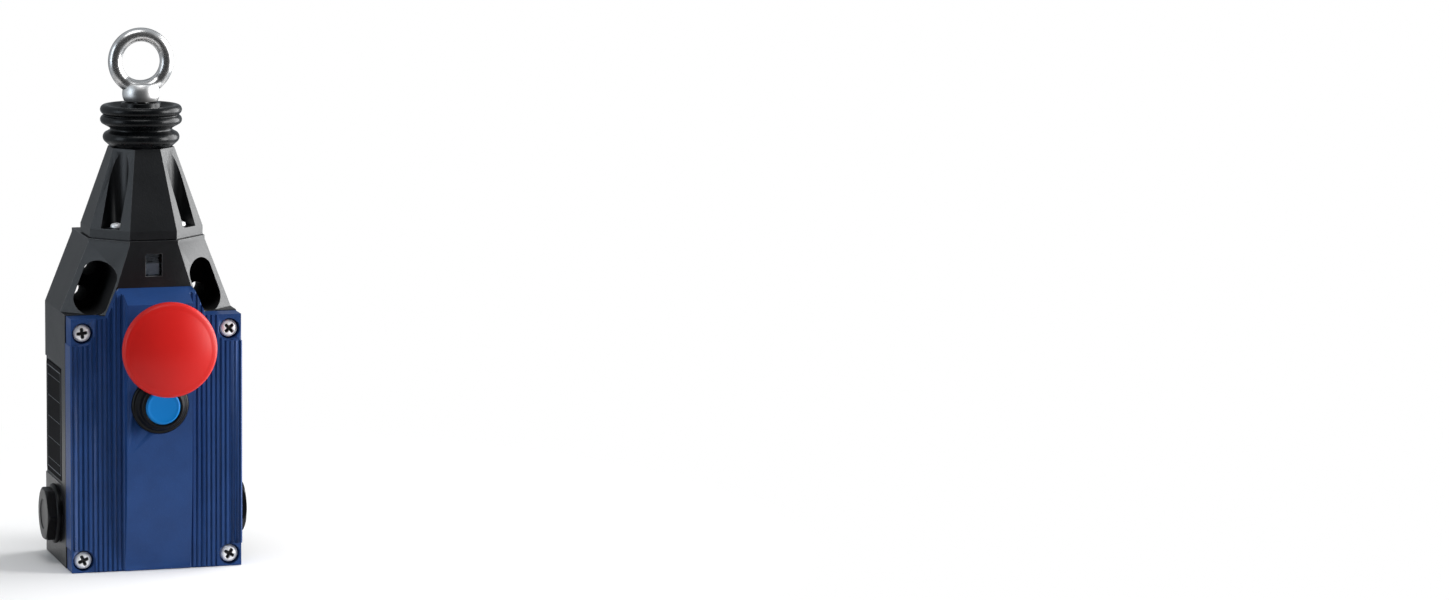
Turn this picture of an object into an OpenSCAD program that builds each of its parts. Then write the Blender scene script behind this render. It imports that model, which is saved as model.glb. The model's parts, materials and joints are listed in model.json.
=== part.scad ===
// Rope pull switch with emergency stop button and reset button.
// X runs to the right, Y to the back, Z up along the rope. The origin lies on
// the mounting face, midway between the two lower fixing holes. Depths are
// counted from the mounting face towards the front, heights from the base.

/* [Housing] */
// Width of the housing
body_w = 75; // [72:0.5:84]
// Depth of the housing from its mounting face to the cover joint
body_d = 44; // [43:0.5:50]
// Height of the straight sides
side_h = 110.4; // [106:0.1:118]
// Height of the sloping head above the straight sides
head_h = 30.2; // [29:0.1:36]
// Height of the upright lip on top of the sloping head
lip_h = 1.6; // [1:0.1:2.5]
// Width and depth of the head at its top joint
head_w = 51; // [50:0.5:56]
// Half width of the head's front panel where the slope begins
panel_half = 20; // [18:0.5:23]
// Wall of the housing
wall = 4; // [3:0.1:4.5]

/* [Fixing holes] */
// Radius of a fixing hole
fix_r = 3.3; // [2.7:0.05:3.5]
// Spacing of the two lower fixing holes
fix_low_sp = 52; // [51:0.5:54]
// Spacing of the two upper fixing holes
fix_up_sp = 44; // [43:0.5:46]
// Height of the lower fixing holes above the end of the straight sides
fix_low_up = 5.6; // [5:0.1:7]
// Rise from the lower to the upper fixing holes
fix_rise = 11; // [9:0.5:12]
// Radius of the recess round the fixing holes
recess_r = 6.2; // [5.6:0.1:6.6]
// Thickness left under the recess
recess_floor = 18; // [10:0.5:22]

/* [Cover] */
// Thickness of the cover's flanks
cover_t = 11.2; // [10.5:0.1:14]
// Wall of the cover
cover_wall = 3; // [2.4:0.1:3.4]
// Thickness of the flat gasket under the cover
gasket_t = 0.8; // [0.5:0.1:1.5]
// Width of the raised band down the middle
band_w = 28.5; // [27:0.5:31]
// How far the band stands out at its top
band_rise = 7.6; // [6:0.1:9]
// Height of the tongue that covers the foot of the head
tongue_h = 11.8; // [9:0.1:13]
// Distance from rib to rib
rib_pitch = 2.1; // [1.8:0.1:3]
// Depth of the grooves between the ribs
rib_depth = 0.7; // [0.4:0.1:1]
// Distance of the cover screws from the sides
screw_edge = 5.5; // [5.1:0.1:6.5]
// Chamfer along the cover's front edges
cover_edge = 0.5; // [0.3:0.1:0.8]
// Height of the lower cover screws above the base
screw_low_h = 5.1; // [5:0.1:6]
// Distance of the upper cover screws below the end of the straight sides
screw_up_drop = 6.6; // [6.4:0.1:8]
// Radius of a cover screw's head
screw_head_r = 3.8; // [3.4:0.1:4]

/* [Rope head] */
// Height of the straight skirt of the rope head
skirt_h = 3.6; // [3:0.1:9]
// Height of the tapering part of the rope head
taper_h = 33.9; // [31:0.1:36]
// Width across flats at the top of the rope head
cone_top_w = 26.8; // [26.4:0.1:30]
// How far the rope head stands back from the housing's lip
head_inset = 0.8; // [0.3:0.1:1.5]
// Radius of the pull rod
rod_r = 4; // [3.5:0.1:4.5]
// Running clearance round sliding rods and stems
run_gap = 0.06; // [0.03:0.01:0.1]
// Travel of the pull rod
rod_travel = 10; // [8:0.5:10]

/* [Bellows and eye] */
// Radius of the two upper folds of the bellows
fold_r = 17.8; // [17:0.1:19]
// Radius of the lower fold of the bellows
low_fold_r = 16.6; // [15.6:0.1:17.4]
// Height of the bellows from the rope head to its rim
bellows_h = 18.1; // [16:0.1:20]
// Thickness of the rubber
rubber_t = 1.8; // [1.2:0.1:2.2]
// Radius of the wire of the eye
eye_wire_r = 3; // [2.5:0.05:3.5]
// Radius of the free hole of the eye
eye_hole_r = 8.3; // [8:0.1:10]
// Extra height of the eye's hole over its width
eye_long = 0.4; // [0.2:0.1:4]
// Radius of the eye's collar
collar_r = 8.05; // [7.4:0.05:9]
// Height of the eye's collar
collar_h = 7.4; // [7:0.1:11]

/* [Buttons] */
// Radius of the emergency stop mushroom
stop_r = 20.5; // [18:0.5:21]
// Distance of the emergency stop button below the end of the straight sides
stop_drop = 10.6; // [10.2:0.1:12]
// Travel of the emergency stop button
stop_travel = 5; // [3:0.5:5]
// Radius of the emergency stop neck
neck_r = 12.5; // [11.6:0.1:12.8]
// Distance from the emergency stop button down to the reset button
reset_drop = 26.9; // [26.4:0.1:28]
// Radius of the reset button's face
reset_r = 7.5; // [6.8:0.1:7.6]
// Travel of the reset button
reset_travel = 3.5; // [2:0.5:3.5]
// Radius of the reset bezel at its foot
bezel_r = 12.4; // [11.5:0.1:12.6]
// Height of the reset bezel
bezel_h = 6.8; // [5:0.1:8]

/* [Cable entries] */
// Radius of the threaded cable entries
entry_r = 9.6; // [9:0.1:10]
// Length of the thread in the cable entries
entry_len = 9.5; // [8:0.5:10]
// Height of the cable entries above the base
entry_h = 21; // [19:0.1:22]
// Depth of the cable entries from the mounting face
entry_d = 26; // [20:0.5:27]
// Radius of the blanking plug's flange
plug_r = 13; // [12.5:0.1:14]

/* [Hidden] */
$fn = 64;

// Heights in the part's own frame
z_side = -fix_low_up;
z_base = z_side - side_h;
z_lip = z_side + head_h;
z_seam = z_lip + lip_h;
seam_t = 0.5;
z_cone = z_seam + seam_t;
z_skirt = z_cone + skirt_h;
z_top = z_skirt + taper_h;
z_rim = z_top + bellows_h;
z_entry = z_base + entry_h;
z_stop = z_side - stop_drop;
z_reset = z_stop - reset_drop;
earth_h = 42;
z_earth = z_base + earth_h;
earth_r = 1.5;
earth_head_r = 3;
label_t = 0.5;
label_h = 51.5;
label_low_h = entry_h + plug_r + 1;
label_front = body_d - 8;
eps = 0.01;

// Depths and the rope axis
axis_d = head_w / 2;
cover_back = body_d + gasket_t;
cover_front = cover_back + cover_t;
panel_half_top = head_w * (sqrt(2) - 1) / 2;
join_gap = 0.3;

// Cover
cover_top = z_side - join_gap;
tongue_top = z_side + tongue_h;
tongue_low_half = panel_half + 1.6;
tongue_top_half = panel_half - (panel_half - panel_half_top) * tongue_h / head_h + 0.2;
bevel_drop = 5.6;
bend_h = 50;
bend_part = 0.77;
band_cavity_d = cover_front + band_rise - 1.3 - cover_wall;
band_cavity_half = band_w / 2 - cover_wall;
pad_w = 10.6;
pad_low_h = 9.8;
pad_up_h = 11.6;
pad_round = 5;
pad_inset = 0.4;
pocket_gap = 0.75;
screw_x = body_w / 2 - screw_edge;
screw_seat_d = cover_front - 4;
screw_hole_r = 2.1;
screw_shank_r = 1.95;
boss_r = 5;

// Rope head
cone_half = head_w / 2 - head_inset;
cone_top_half = cone_top_w / 2;
flute_r = 4.75;
flute_c = cone_top_half + flute_r + 0.4;
head_screw_c = flute_c + 0.9;
head_screw_head_r = 2.6;
head_screw_r = 1.25;
spring_room_r = 11;
spigot_r = 10.6;
spigot_h = 3.4;
spring_top = z_cone + 27;
bush_r = 7;
bush_flange_r = 9.4;
bush_flange_t = 1.6;

// Pull rod and what rides on it
z_collar = z_rim + 1.5;
z_eye = z_collar + collar_h + eye_hole_r + 1.5;
rod_top = z_collar + collar_h - 2.4;
seat_top = z_side + 16;
seat_t = 2.5;
seat_hub_h = 6;
seat_r = 10;
spring_mean_r = 8.2;
spring_wire = 2.2;
window_w = 7.2;
window_h = 9.6;
z_window = z_side + 16.6;
window_t = 1.5;
panel_t = 4.5;
marker_front = head_w - panel_t - 0.6;
marker_h = 5;
carriage_drop = 31;
carriage_bottom = z_side - carriage_drop;
carriage_h = 14;
carriage_half = 9;
carriage_back = 6;
carriage_front = 6.7;
carriage_d = [axis_d - carriage_back, axis_d + carriage_front];
rod_bottom = carriage_bottom - 8;
bridge_t = 1.2;
bridge_h = 4;
bridge_half = 15;
bridge_ds = [axis_d - rod_r - 0.4 - bridge_t, axis_d + rod_r + 0.4];
bridge_up = 5;
bridge_z = carriage_bottom + bridge_up;

// Contact blocks on either side of the carriage
block_in = 12;
block_out = 26;
block_over = 10.5;
block_front = axis_d + block_over;
block_below = 27;
block_above = 23;
block_z = [carriage_bottom - block_below, carriage_bottom + block_above];
block_slot_in = 17.5;
block_slot_half = 8.5;
block_slot_d = [axis_d - block_slot_half, axis_d + block_slot_half];
terminal_out = 3.4;
terminal_pitch = 4.8;
terminal_x = [block_out - terminal_out - terminal_pitch, block_out - terminal_out];
terminal_end = 5;
terminal_z = [block_z[0] + terminal_end, block_z[1] - terminal_end];
terminal_r = 2.1;
terminal_hole = 8;
bridge_room = 3;

// Levers that the two buttons push
lever_t = 2.5;
lever_over = 4.5;
lever_d = block_front + lever_over;
lever_half = 7.2;
lever_gap = 0.3;
pin_r = 1.5;
hub_r = 3;
stop_arm = 16.4;
reset_arm = 14;
z_trip_pin = z_stop - stop_arm;
z_reset_pin = z_reset - reset_arm;
ear_in = lever_half + 0.3;
ear_t = 1.5;
ear_front = lever_d + 3.2;
ear_half = 4;
bracket_over = 8;
tip_r = 3;
tip_d = lever_d + lever_t / 2 + lever_gap;

// Buttons on the band
stop_face = cover_front + band_rise - 0.75;
reset_face = cover_front + band_rise - 1.65;
thread_r = 9.2;
nut_r = 10.9;
nut_t = 3;
tail_d = band_cavity_d - 6;
neck_h = 10;
stem_r = 4.9;
stop_room_r = 9;
stop_room_d = band_cavity_d + 1;
cap_low = 8.6;
cap_high = 26;
cap_room_r = neck_r + 0.9;
cap_room = 20.5;
cap_edge = 3;
reset_room_d = tail_d + 3;
button_low = 2;

// Cable entries
boss_entry_r = 14;
seal_t = 0.8;
plug_flange_t = 2;
plug_hex_h = 3.6;
plug_hex_r = 12.4;

function arc(c, r, a0, a1, n) =
    [for (i = [0:n]) let (a = a0 + (a1 - a0) * i / n) c + r * [cos(a), sin(a)]];

// Outline seen from the front, solid from depth d0 to depth d1
module from_front(d0, d1)
    translate([0, -d0, 0]) rotate([90, 0, 0]) linear_extrude(d1 - d0) children();

// Outline of depth and height, extruded across the width w
module from_side(w)
    mirror([0, 1, 0]) rotate([90, 0, 90]) linear_extrude(w, center = true) children();

// Box given by its x, depth and height limits
module block(x, d, z)
    translate([x[0], -d[1], z[0]]) cube([x[1] - x[0], d[1] - d[0], z[1] - z[0]]);

// Cylinder that points to the front, from depth d0 to depth d1
module front_cyl(r, d0, d1, x = 0, z = 0, n = 64)
    translate([x, -d0, z]) rotate([90, 0, 0]) cylinder(r = r, h = d1 - d0, $fn = n);

// Solid of revolution about a line to the front, its outline given as [radius, depth]
module front_turned(z) translate([0, 0, z]) rotate([90, 0, 0]) rotate_extrude() children();

module both_sides() { children(); mirror([1, 0, 0]) children(); }

module at_axis(z = 0) translate([0, -axis_d, z]) children();

module slot(p, q, r) {
    t = q - p;
    translate(p) circle(r);
    translate(q) circle(r);
    translate(p) rotate(atan2(t[1], t[0])) translate([0, -r]) square([norm(t), 2 * r]);
}

module fixing_positions()
    for (p = [[fix_low_sp / 2, 0], [fix_up_sp / 2, fix_rise]]) both_sides()
        translate([p[0], 0, p[1]]) children();

module cover_screw_positions()
    for (z = [z_base + screw_low_h, z_side - screw_up_drop]) both_sides()
        translate([screw_x, 0, z]) children();

module quarter_turns() for (a = [45:90:315]) rotate([0, 0, a]) children();

// Wire wound round Z from the height z0 to the height z1
module coil(r, wire, turns, z0, z1, steps = 18, sides = 6) {
    n = round(turns * steps);
    low = z0 + wire / 2;
    high = z1 - wire / 2;
    rings = [for (i = [0:n]) let (a = 360 * turns * i / n, z = low + (high - low) * i / n)
        for (k = [0:sides - 1]) let (b = 360 * k / sides, q = r + wire / 2 * cos(b))
            [q * cos(a), q * sin(a), z + wire / 2 * sin(b)]];
    skin = [for (i = [0:n - 1]) for (k = [0:sides - 1]) let (m = (k + 1) % sides)
        [i * sides + k, i * sides + m, (i + 1) * sides + m, (i + 1) * sides + k]];
    ends = [[for (k = [0:sides - 1]) sides - 1 - k], [for (k = [0:sides - 1]) n * sides + k]];
    polyhedron(rings, concat([for (f = skin) [f[0], f[3], f[2], f[1]]],
        [for (f = ends) [for (i = [len(f) - 1:-1:0]) f[i]]]));
}

// ---- Housing ----

// Half space in front of the slanting shoulder facet on the right
module shoulder_cut() {
    lean = atan((panel_half - panel_half_top) / (head_h * sqrt(2)));
    translate([panel_half, -head_w, z_side]) rotate([0, 0, 45]) rotate([-lean, 0, 0])
        translate([-60, -60, -60]) cube([120, 60, 160]);
}

module head_block() {
    facet = head_w / 2 - panel_half_top;
    difference() {
        from_front(0, head_w) polygon([[-body_w / 2, z_side], [body_w / 2, z_side],
            [head_w / 2, z_lip], [-head_w / 2, z_lip]]);
        both_sides() shoulder_cut();
    }
    translate([0, 0, z_lip - eps]) linear_extrude(lip_h + eps)
        polygon([[-head_w / 2, 0], [-head_w / 2, facet - head_w], [-panel_half_top, -head_w],
            [panel_half_top, -head_w], [head_w / 2, facet - head_w], [head_w / 2, 0]]);
}

module housing() color("#24272b")
    difference() {
        union() {
            difference() {
                union() {
                    block([-body_w / 2, body_w / 2], [0, body_d], [z_base, z_side]);
                    head_block();
                }
                block([-1, 1] * (body_w / 2 - wall), [wall, body_d + 1], [z_base + wall, z_side - wall]);
            }
            cover_screw_positions() front_cyl(boss_r, wall - eps, body_d);
            both_sides() translate([body_w / 2 - eps, -entry_d, z_entry]) rotate([0, -90, 0])
                cylinder(r = boss_entry_r, h = entry_len);
        }
        block([-spring_room_r, spring_room_r], [wall + 1.5, head_w - panel_t],
            [z_side - wall - 1, z_seam + 1]);
        for (s = [-1, 1]) from_front(recess_floor, head_w + 1)
            slot([s * fix_low_sp / 2, 0], [s * fix_up_sp / 2, fix_rise], recess_r);
        fixing_positions() front_cyl(fix_r, -1, recess_floor + 1);
        front_cyl(earth_r + 0.05, 1.2, wall + 1, 0, z_earth);
        block([-body_w / 2 - 1, label_t - body_w / 2], [-1, label_front],
            [z_base + label_low_h, z_base + label_low_h + label_h]);
        cover_screw_positions() front_cyl(screw_shank_r + 0.05, body_d - 14, body_d + 1);
        both_sides() translate([body_w / 2 + 1, -entry_d, z_entry]) rotate([0, -90, 0])
            cylinder(r = entry_r, h = body_w / 2);
        at_axis() quarter_turns() translate([head_screw_c, 0, z_seam - 7])
            cylinder(r = head_screw_r + 0.05, h = 8, $fn = 24);
        block([-window_w / 2, window_w / 2], [head_w - panel_t - 1, head_w + 1],
            [z_window, z_window + window_h]);
        block([-1, 1] * (window_w / 2 + 1.3), [head_w - panel_t - 1, head_w - panel_t + window_t + 0.1],
            [z_window - 1.3, z_window + window_h + 1.3]);
    }

// Hexagon headed plug, its flange at z = 0, the hexagon turned as far as it was tightened
module cable_plug(turn) {
    cylinder(r = plug_r, h = plug_flange_t);
    translate([0, 0, plug_flange_t - eps]) rotate([0, 0, turn]) intersection() {
        cylinder(r = plug_hex_r, h = plug_hex_h, $fn = 6);
        cylinder(r1 = plug_hex_r + plug_hex_h - 1.2, r2 = plug_hex_r - 1.2, h = plug_hex_h);
    }
    translate([0, 0, 1.2 - entry_len]) cylinder(r = entry_r - 0.08, h = entry_len);
}

module plug_place(side) translate([side * (body_w / 2 + seal_t), -entry_d, z_entry])
    rotate([0, side * 90, 0]) children();

module plug_left() color("#17181a") plug_place(-1) cable_plug(0);

module plug_right() color("#17181a") plug_place(1) cable_plug(18);

module plug_seals() color("#0f0f10") for (s = [-1, 1]) plug_place(s)
    translate([0, 0, -seal_t]) difference() {
        cylinder(r = plug_r - seal_t, h = seal_t);
        translate([0, 0, -1]) cylinder(r = entry_r + 0.1, h = 3);
    }

// ---- Cover ----

// Front line of the band: an arc out of the flank, then nearly straight to the top
function band_front(h) = let (t = min(h / bend_h, 1), rest = max(h - bend_h, 0))
    cover_front + band_rise * (bend_part * (1 - pow(1 - t, 2))
        + (1 - bend_part) * rest / (side_h + tongue_h - bevel_drop - bend_h));

module band_profile() {
    top = side_h + tongue_h - bevel_drop;
    steps = 14;
    polygon(concat([[cover_back, z_base]],
        [for (i = [0:steps]) let (h = bend_h * i / steps) [band_front(h), z_base + h]],
        [[band_front(top), z_base + top], [head_w + join_gap, tongue_top],
         [head_w + join_gap, cover_top], [cover_back, cover_top]]));
}

module flank_profile() {
    slope = bevel_drop / (band_front(side_h + tongue_h - bevel_drop) - head_w - join_gap);
    polygon([[cover_back, z_base], [cover_front - cover_edge, z_base],
        [cover_front, z_base + cover_edge],
        [cover_front, tongue_top - slope * (cover_front - head_w - join_gap)],
        [head_w + join_gap, tongue_top], [head_w + join_gap, cover_top],
        [cover_back, cover_top]]);
}

// Flanks of the cover, chamfered along their front edges and set in at the corner pads
module flanks() {
    half = body_w / 2;
    difference() {
        intersection() {
            from_side(body_w) flank_profile();
            translate([0, 0, z_base - 1]) linear_extrude(side_h + tongue_h + 2) polygon([
                [-half, -cover_back], [-half, cover_edge - cover_front],
                [cover_edge - half, -cover_front], [half - cover_edge, -cover_front],
                [half, cover_edge - cover_front], [half, -cover_back]]);
        }
        both_sides() {
            rib_grooves();
            pad_cut(z_base - 1, z_base + pad_low_h, false);
            pad_cut(cover_top - pad_up_h, cover_top + 1, true);
            for (z = [[z_base - 1, z_base + pad_low_h], [cover_top - pad_up_h, cover_top + 1]])
                block([half - pad_inset, half + 1], [cover_back - 1, cover_front + 1], z);
        }
    }
}

module cover_outline() polygon([[-body_w / 2, z_base], [body_w / 2, z_base],
    [body_w / 2, cover_top], [tongue_low_half, cover_top], [tongue_top_half, tongue_top],
    [-tongue_top_half, tongue_top], [-tongue_low_half, cover_top], [-body_w / 2, cover_top]]);

// Plain corner pad, cut one groove deep into the ribs, with a rounded inner corner
module pad_cut(z0, z1, up) {
    inner = body_w / 2 - pad_w;
    zc = up ? z0 + pad_round : z1 - pad_round;
    from_front(cover_front - rib_depth, cover_front + 1) difference() {
        translate([inner, z0]) square([pad_w + 1, z1 - z0]);
        difference() {
            translate([inner, min(zc, up ? z0 : z1)]) square(pad_round);
            translate([inner + pad_round, zc]) circle(pad_round);
        }
    }
}

module rib_grooves() {
    first = band_w / 2 + rib_pitch / 2;
    count = floor((body_w / 2 - first) / rib_pitch);
    for (i = [0:count]) translate([first + i * rib_pitch, -cover_front, z_base - 1])
        linear_extrude(side_h + tongue_h + 2)
            polygon([[-0.55, -0.1], [0.55, -0.1], [0.2, rib_depth], [-0.2, rib_depth]]);
}

module cover() color("#26407c")
    difference() {
        intersection() {
            from_front(cover_back, cover_front + band_rise + 5) cover_outline();
            union() {
                flanks();
                from_side(band_w) band_profile();
            }
        }
        difference() {
            block([-1, 1] * (body_w / 2 - cover_wall - 0.5), [cover_back - 1, cover_front - cover_wall],
                [z_base + cover_wall + 0.5, cover_top - cover_wall]);
            cover_screw_positions() front_cyl(boss_r + 0.5, cover_back - 2, cover_front);
        }
        block([-1, 1] * band_cavity_half, [cover_front - cover_wall - eps, band_cavity_d],
            [z_base + bend_h - 8, cover_top + 1.6]);
        cover_screw_positions() {
            front_cyl(screw_hole_r, cover_back - 1, cover_front + 1);
            front_cyl(screw_head_r + pocket_gap, screw_seat_d, cover_front + 2);
        }
        front_cyl(thread_r + 0.05, band_cavity_d - 1, stop_face + 1, 0, z_stop);
        front_cyl(thread_r + 0.05, band_cavity_d - 1, reset_face + 1, 0, z_reset);
        front_cyl(neck_r + 0.2, stop_face, stop_face + 3, 0, z_stop);
        front_cyl(bezel_r + 0.2, reset_face, reset_face + 3, 0, z_reset);
    }

module cover_gasket() color("#141414") {
    edge = 0.6;
    rim = wall + 1;
    from_front(body_d, cover_back) difference() {
        union() {
            difference() {
                translate([edge - body_w / 2, z_base + edge])
                    square([body_w - 2 * edge, side_h - 2 * edge]);
                translate([rim - body_w / 2, z_base + rim]) square([body_w - 2 * rim, side_h - 2 * rim]);
            }
            for (z = [z_base + screw_low_h, z_side - screw_up_drop]) for (s = [-1, 1])
                translate([s * screw_x, z]) circle(boss_r - 0.6);
        }
        for (z = [z_base + screw_low_h, z_side - screw_up_drop]) for (s = [-1, 1])
            translate([s * screw_x, z]) circle(screw_shank_r + 0.1);
    }
}

module cross_recess(size, depth)
    for (a = [0, 90]) rotate([0, 0, a]) translate([-size / 2, -size / 8, -depth])
        cube([size, size / 4, depth + 2]);

// Pan head screw, seat of the head at z = 0, head upwards
module pan_screw(head_r, head_h, shank_r, length) difference() {
    union() {
        rotate_extrude() polygon(concat([[0, 0], [head_r, 0]],
            [for (i = [0:6]) let (a = 15 * i) [head_r * cos(a * 0.8) , head_h * (0.35 + 0.65 * sin(a))]],
            [[0, head_h]]));
        translate([0, 0, -length]) cylinder(r = shank_r, h = length + eps, $fn = 32);
    }
    translate([0, 0, head_h]) cross_recess(head_r * 1.15, head_h * 0.45);
}

module cover_screws() color("silver") cover_screw_positions()
    translate([0, -screw_seat_d, 0]) rotate([90, 0, 0])
        pan_screw(screw_head_r, 2.7, screw_shank_r, screw_seat_d - body_d + 12);

// ---- Rope head ----

module octagon_taper() intersection_for (a = [0:45:135]) rotate([0, 0, a]) rotate([90, 0, 0])
    linear_extrude(2 * head_w, center = true) polygon([[-cone_half, z_cone], [cone_half, z_cone],
        [cone_half, z_skirt], [cone_top_half, z_top], [-cone_top_half, z_top], [-cone_half, z_skirt]]);

// Upright channel open to a diagonal facet, which gives the screw room from above
module flute() translate([flute_c, 0, z_skirt + 0.4]) {
    cylinder(r = flute_r, h = taper_h);
    translate([0, -flute_r, 0]) cube([head_w / 2, 2 * flute_r, taper_h]);
}

module rope_head() color("#1d2023") at_axis() difference() {
    union() {
        octagon_taper();
        translate([0, 0, z_top - eps]) cylinder(r = spigot_r, h = spigot_h);
        translate([0, 0, z_top + spigot_h - 1]) cylinder(r = spigot_r + 0.6, h = 1);
    }
    quarter_turns() flute();
    quarter_turns() translate([head_screw_c, 0, z_cone - 1])
        cylinder(r = head_screw_r + 0.15, h = skirt_h + 4, $fn = 24);
    translate([0, 0, z_cone - 1]) cylinder(r = spring_room_r, h = spring_top - z_cone + 1);
    translate([0, 0, z_cone]) cylinder(r = bush_r + 0.02, h = taper_h + skirt_h + 9);
}

module head_gasket() color("#141414") at_axis(z_seam) difference() {
    intersection() {
        linear_extrude(seam_t) square(2 * cone_half - 1, center = true);
        rotate([0, 0, 45]) linear_extrude(seam_t) square(2 * cone_half - 1, center = true);
    }
    translate([0, 0, -1]) cylinder(r = 15, h = 3);
    quarter_turns() translate([head_screw_c, 0, -1]) cylinder(r = head_screw_r + 0.15, h = 3, $fn = 24);
}

module head_screws() color("silver") at_axis() quarter_turns()
    translate([head_screw_c, 0, z_skirt + 0.4])
        pan_screw(head_screw_head_r, 2.2, head_screw_r, skirt_h + seam_t + 6);

module guide_bush() color("#b08d4a") at_axis() difference() {
    union() {
        translate([0, 0, spring_top - bush_flange_t]) cylinder(r = bush_flange_r, h = bush_flange_t);
        translate([0, 0, spring_top - eps]) cylinder(r = bush_r, h = z_top + spigot_h - spring_top);
    }
    cylinder(r = rod_r + run_gap, h = z_top + 20);
}

// ---- Rod, spring and indicator ----

module pull_rod() color("#b9bcc0") at_axis() difference() {
    translate([0, 0, rod_bottom]) cylinder(r = rod_r, h = rod_top - rod_bottom);
    translate([0, 0, rod_top - 2.6]) difference() {
        cylinder(r = rod_r + 1, h = 1.2);
        translate([0, 0, -1]) cylinder(r = rod_r - 0.8, h = 4);
    }
}

module rod_circlip() color("#8d9196") at_axis(rod_top - 2.5) difference() {
    cylinder(r = rod_r + 1.1, h = 1);
    translate([0, 0, -1]) cylinder(r = rod_r - 0.75, h = 3);
    translate([0, -1.2, -1]) cube([rod_r * 2, 2.4, 3]);
}

module rod_nut() color("#a7abb0") at_axis(carriage_bottom - 5) difference() {
    cylinder(r = rod_r * 1.7, h = 5, $fn = 6);
    translate([0, 0, -1]) cylinder(r = rod_r + 0.02, h = 7);
}

module spring_seat() color("#9aa0a6") at_axis() difference() {
    union() {
        translate([0, 0, seat_top - seat_t]) cylinder(r = seat_r, h = seat_t);
        translate([0, 0, seat_top - seat_t - seat_hub_h]) cylinder(r = rod_r + 2.5, h = seat_hub_h + eps);
    }
    translate([0, 0, z_side]) cylinder(r = rod_r + 0.02, h = 40);
}

module main_spring() color("#8b8f94") at_axis()
    coil(spring_mean_r, spring_wire, 9, seat_top, spring_top - bush_flange_t);

// Bracket on the seat's hub that carries the ribbed marker up behind the window
module indicator_marker() color("#c9ccd0") {
    z0 = seat_top - seat_t - seat_hub_h;
    half = window_w / 2 - 0.3;
    difference() {
        union() {
            block([-half, half], [axis_d, marker_front], [z0, z0 + 4]);
            block([-half, half], [marker_front - 3, marker_front], [z0, z_window + marker_h]);
        }
        at_axis(z0 - 1) cylinder(r = rod_r + 2.55, h = 8);
        for (i = [1:3]) translate([0, -marker_front, z_window + marker_h * i / 4])
            rotate([45, 0, 0]) cube([window_w * 2, 0.5, 0.5], center = true);
    }
}

module indicator_window() color("#dfe8ee", 0.35) block([-1, 1] * (window_w / 2 + 1.1),
    [head_w - panel_t + 0.02, head_w - panel_t + window_t + 0.02],
    [z_window - 1.1, z_window + window_h + 1.1]);

// ---- Bellows and eye ----

// Outer line of the bellows from its foot to the rolled rim
function bellows_outer(t) = let (low_c = z_top + bellows_h * 0.26, mid_c = z_rim - bellows_h * 0.36,
        top_c = z_rim - bellows_h * 0.125, br = bellows_h * 0.24, sr = bellows_h * 0.125)
    concat(arc([low_fold_r - br + t, low_c], br - t, -75, 75, 10),
        arc([fold_r - sr * 0.9 + t, mid_c], sr - t, -60, 78, 8),
        arc([fold_r - sr + t, top_c], sr - t, -70, 90, 8));

module bellows() color("#18191b") at_axis() {
    neck = collar_r + 0.6;
    dish = z_rim - 2.4;
    rotate_extrude() polygon(concat([[spigot_r + 0.9, z_top + 0.1], [spigot_r + 2.4, z_top + 0.1]],
        bellows_outer(0), [[fold_r - 3.4, z_rim - 0.6], [neck + 1.6, dish], [neck, dish + 0.4],
         [neck - 0.4, z_collar - join_gap], [rod_r + 0.15, z_collar - join_gap],
         [rod_r + 0.15, z_collar - 1.8], [neck - rubber_t - 0.4, z_collar - 2.2],
         [neck - rubber_t, dish - rubber_t], [fold_r - 3.4, dish - rubber_t]],
        [for (i = [20:-1:0]) let (p = bellows_outer(rubber_t)[i]) [max(p[0] - rubber_t * 1.4,
            spigot_r + 0.9), p[1]]]));
}

module eye_half(top) rotate([0, 0, top ? 0 : 180]) rotate_extrude(angle = 180, $fn = 96)
    translate([eye_hole_r + eye_wire_r, 0]) circle(eye_wire_r, $fn = 48);

module eye_bolt() color("#c8cacc") at_axis() difference() {
    union() {
        translate([0, 0, z_eye]) rotate([90, 0, 0]) {
            translate([0, eye_long / 2, 0]) eye_half(true);
            translate([0, -eye_long / 2, 0]) eye_half(false);
        }
        for (s = [-1, 1]) translate([s * (eye_hole_r + eye_wire_r), 0, z_eye - eye_long / 2])
            cylinder(r = eye_wire_r, h = eye_long, $fn = 48);
        translate([0, 0, z_collar]) rotate_extrude() polygon([[0, 0], [collar_r - 0.7, 0],
            [collar_r, 0.7], [collar_r, collar_h - 1], [collar_r - 1, collar_h], [0, collar_h]]);
    }
    translate([0, 0, z_collar - 1]) cylinder(r = rod_r + run_gap, h = rod_top - z_collar + 1.3);
    translate([0, 0, rod_top - 2.8]) cylinder(r = rod_r + 1.3, h = 1.6);
}

// ---- Contacts ----

module contact_carriage() color("#b8b2a2") difference() {
    block([-carriage_half, carriage_half], carriage_d, [carriage_bottom, carriage_bottom + carriage_h]);
    at_axis(carriage_bottom - 1) cylinder(r = rod_r + 0.02, h = carriage_h + 2);
    for (d = bridge_ds) block([-carriage_half - 1, carriage_half + 1],
        [d - 0.05, d + bridge_t + 0.05], [bridge_z - 0.05, bridge_z + bridge_h + 0.05]);
}

module contact_bridges() color("#c08a4a") for (d = bridge_ds)
    block([-bridge_half, bridge_half], [d, d + bridge_t], [bridge_z, bridge_z + bridge_h]);

module contact_block() difference() {
    block([block_in, block_out], [wall, block_front], block_z);
    block([block_in - 1, block_slot_in], block_slot_d, [bridge_z - bridge_room, block_z[1] + 1]);
    for (x = terminal_x) for (z = terminal_z)
        front_cyl(terminal_r / 2 + 0.05, block_front - terminal_hole, block_front + 1, x, z, 24);
}

module contact_block_left() color("#3a3d40") mirror([1, 0, 0]) contact_block();

module contact_block_right() color("#3a3d40") contact_block();

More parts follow.
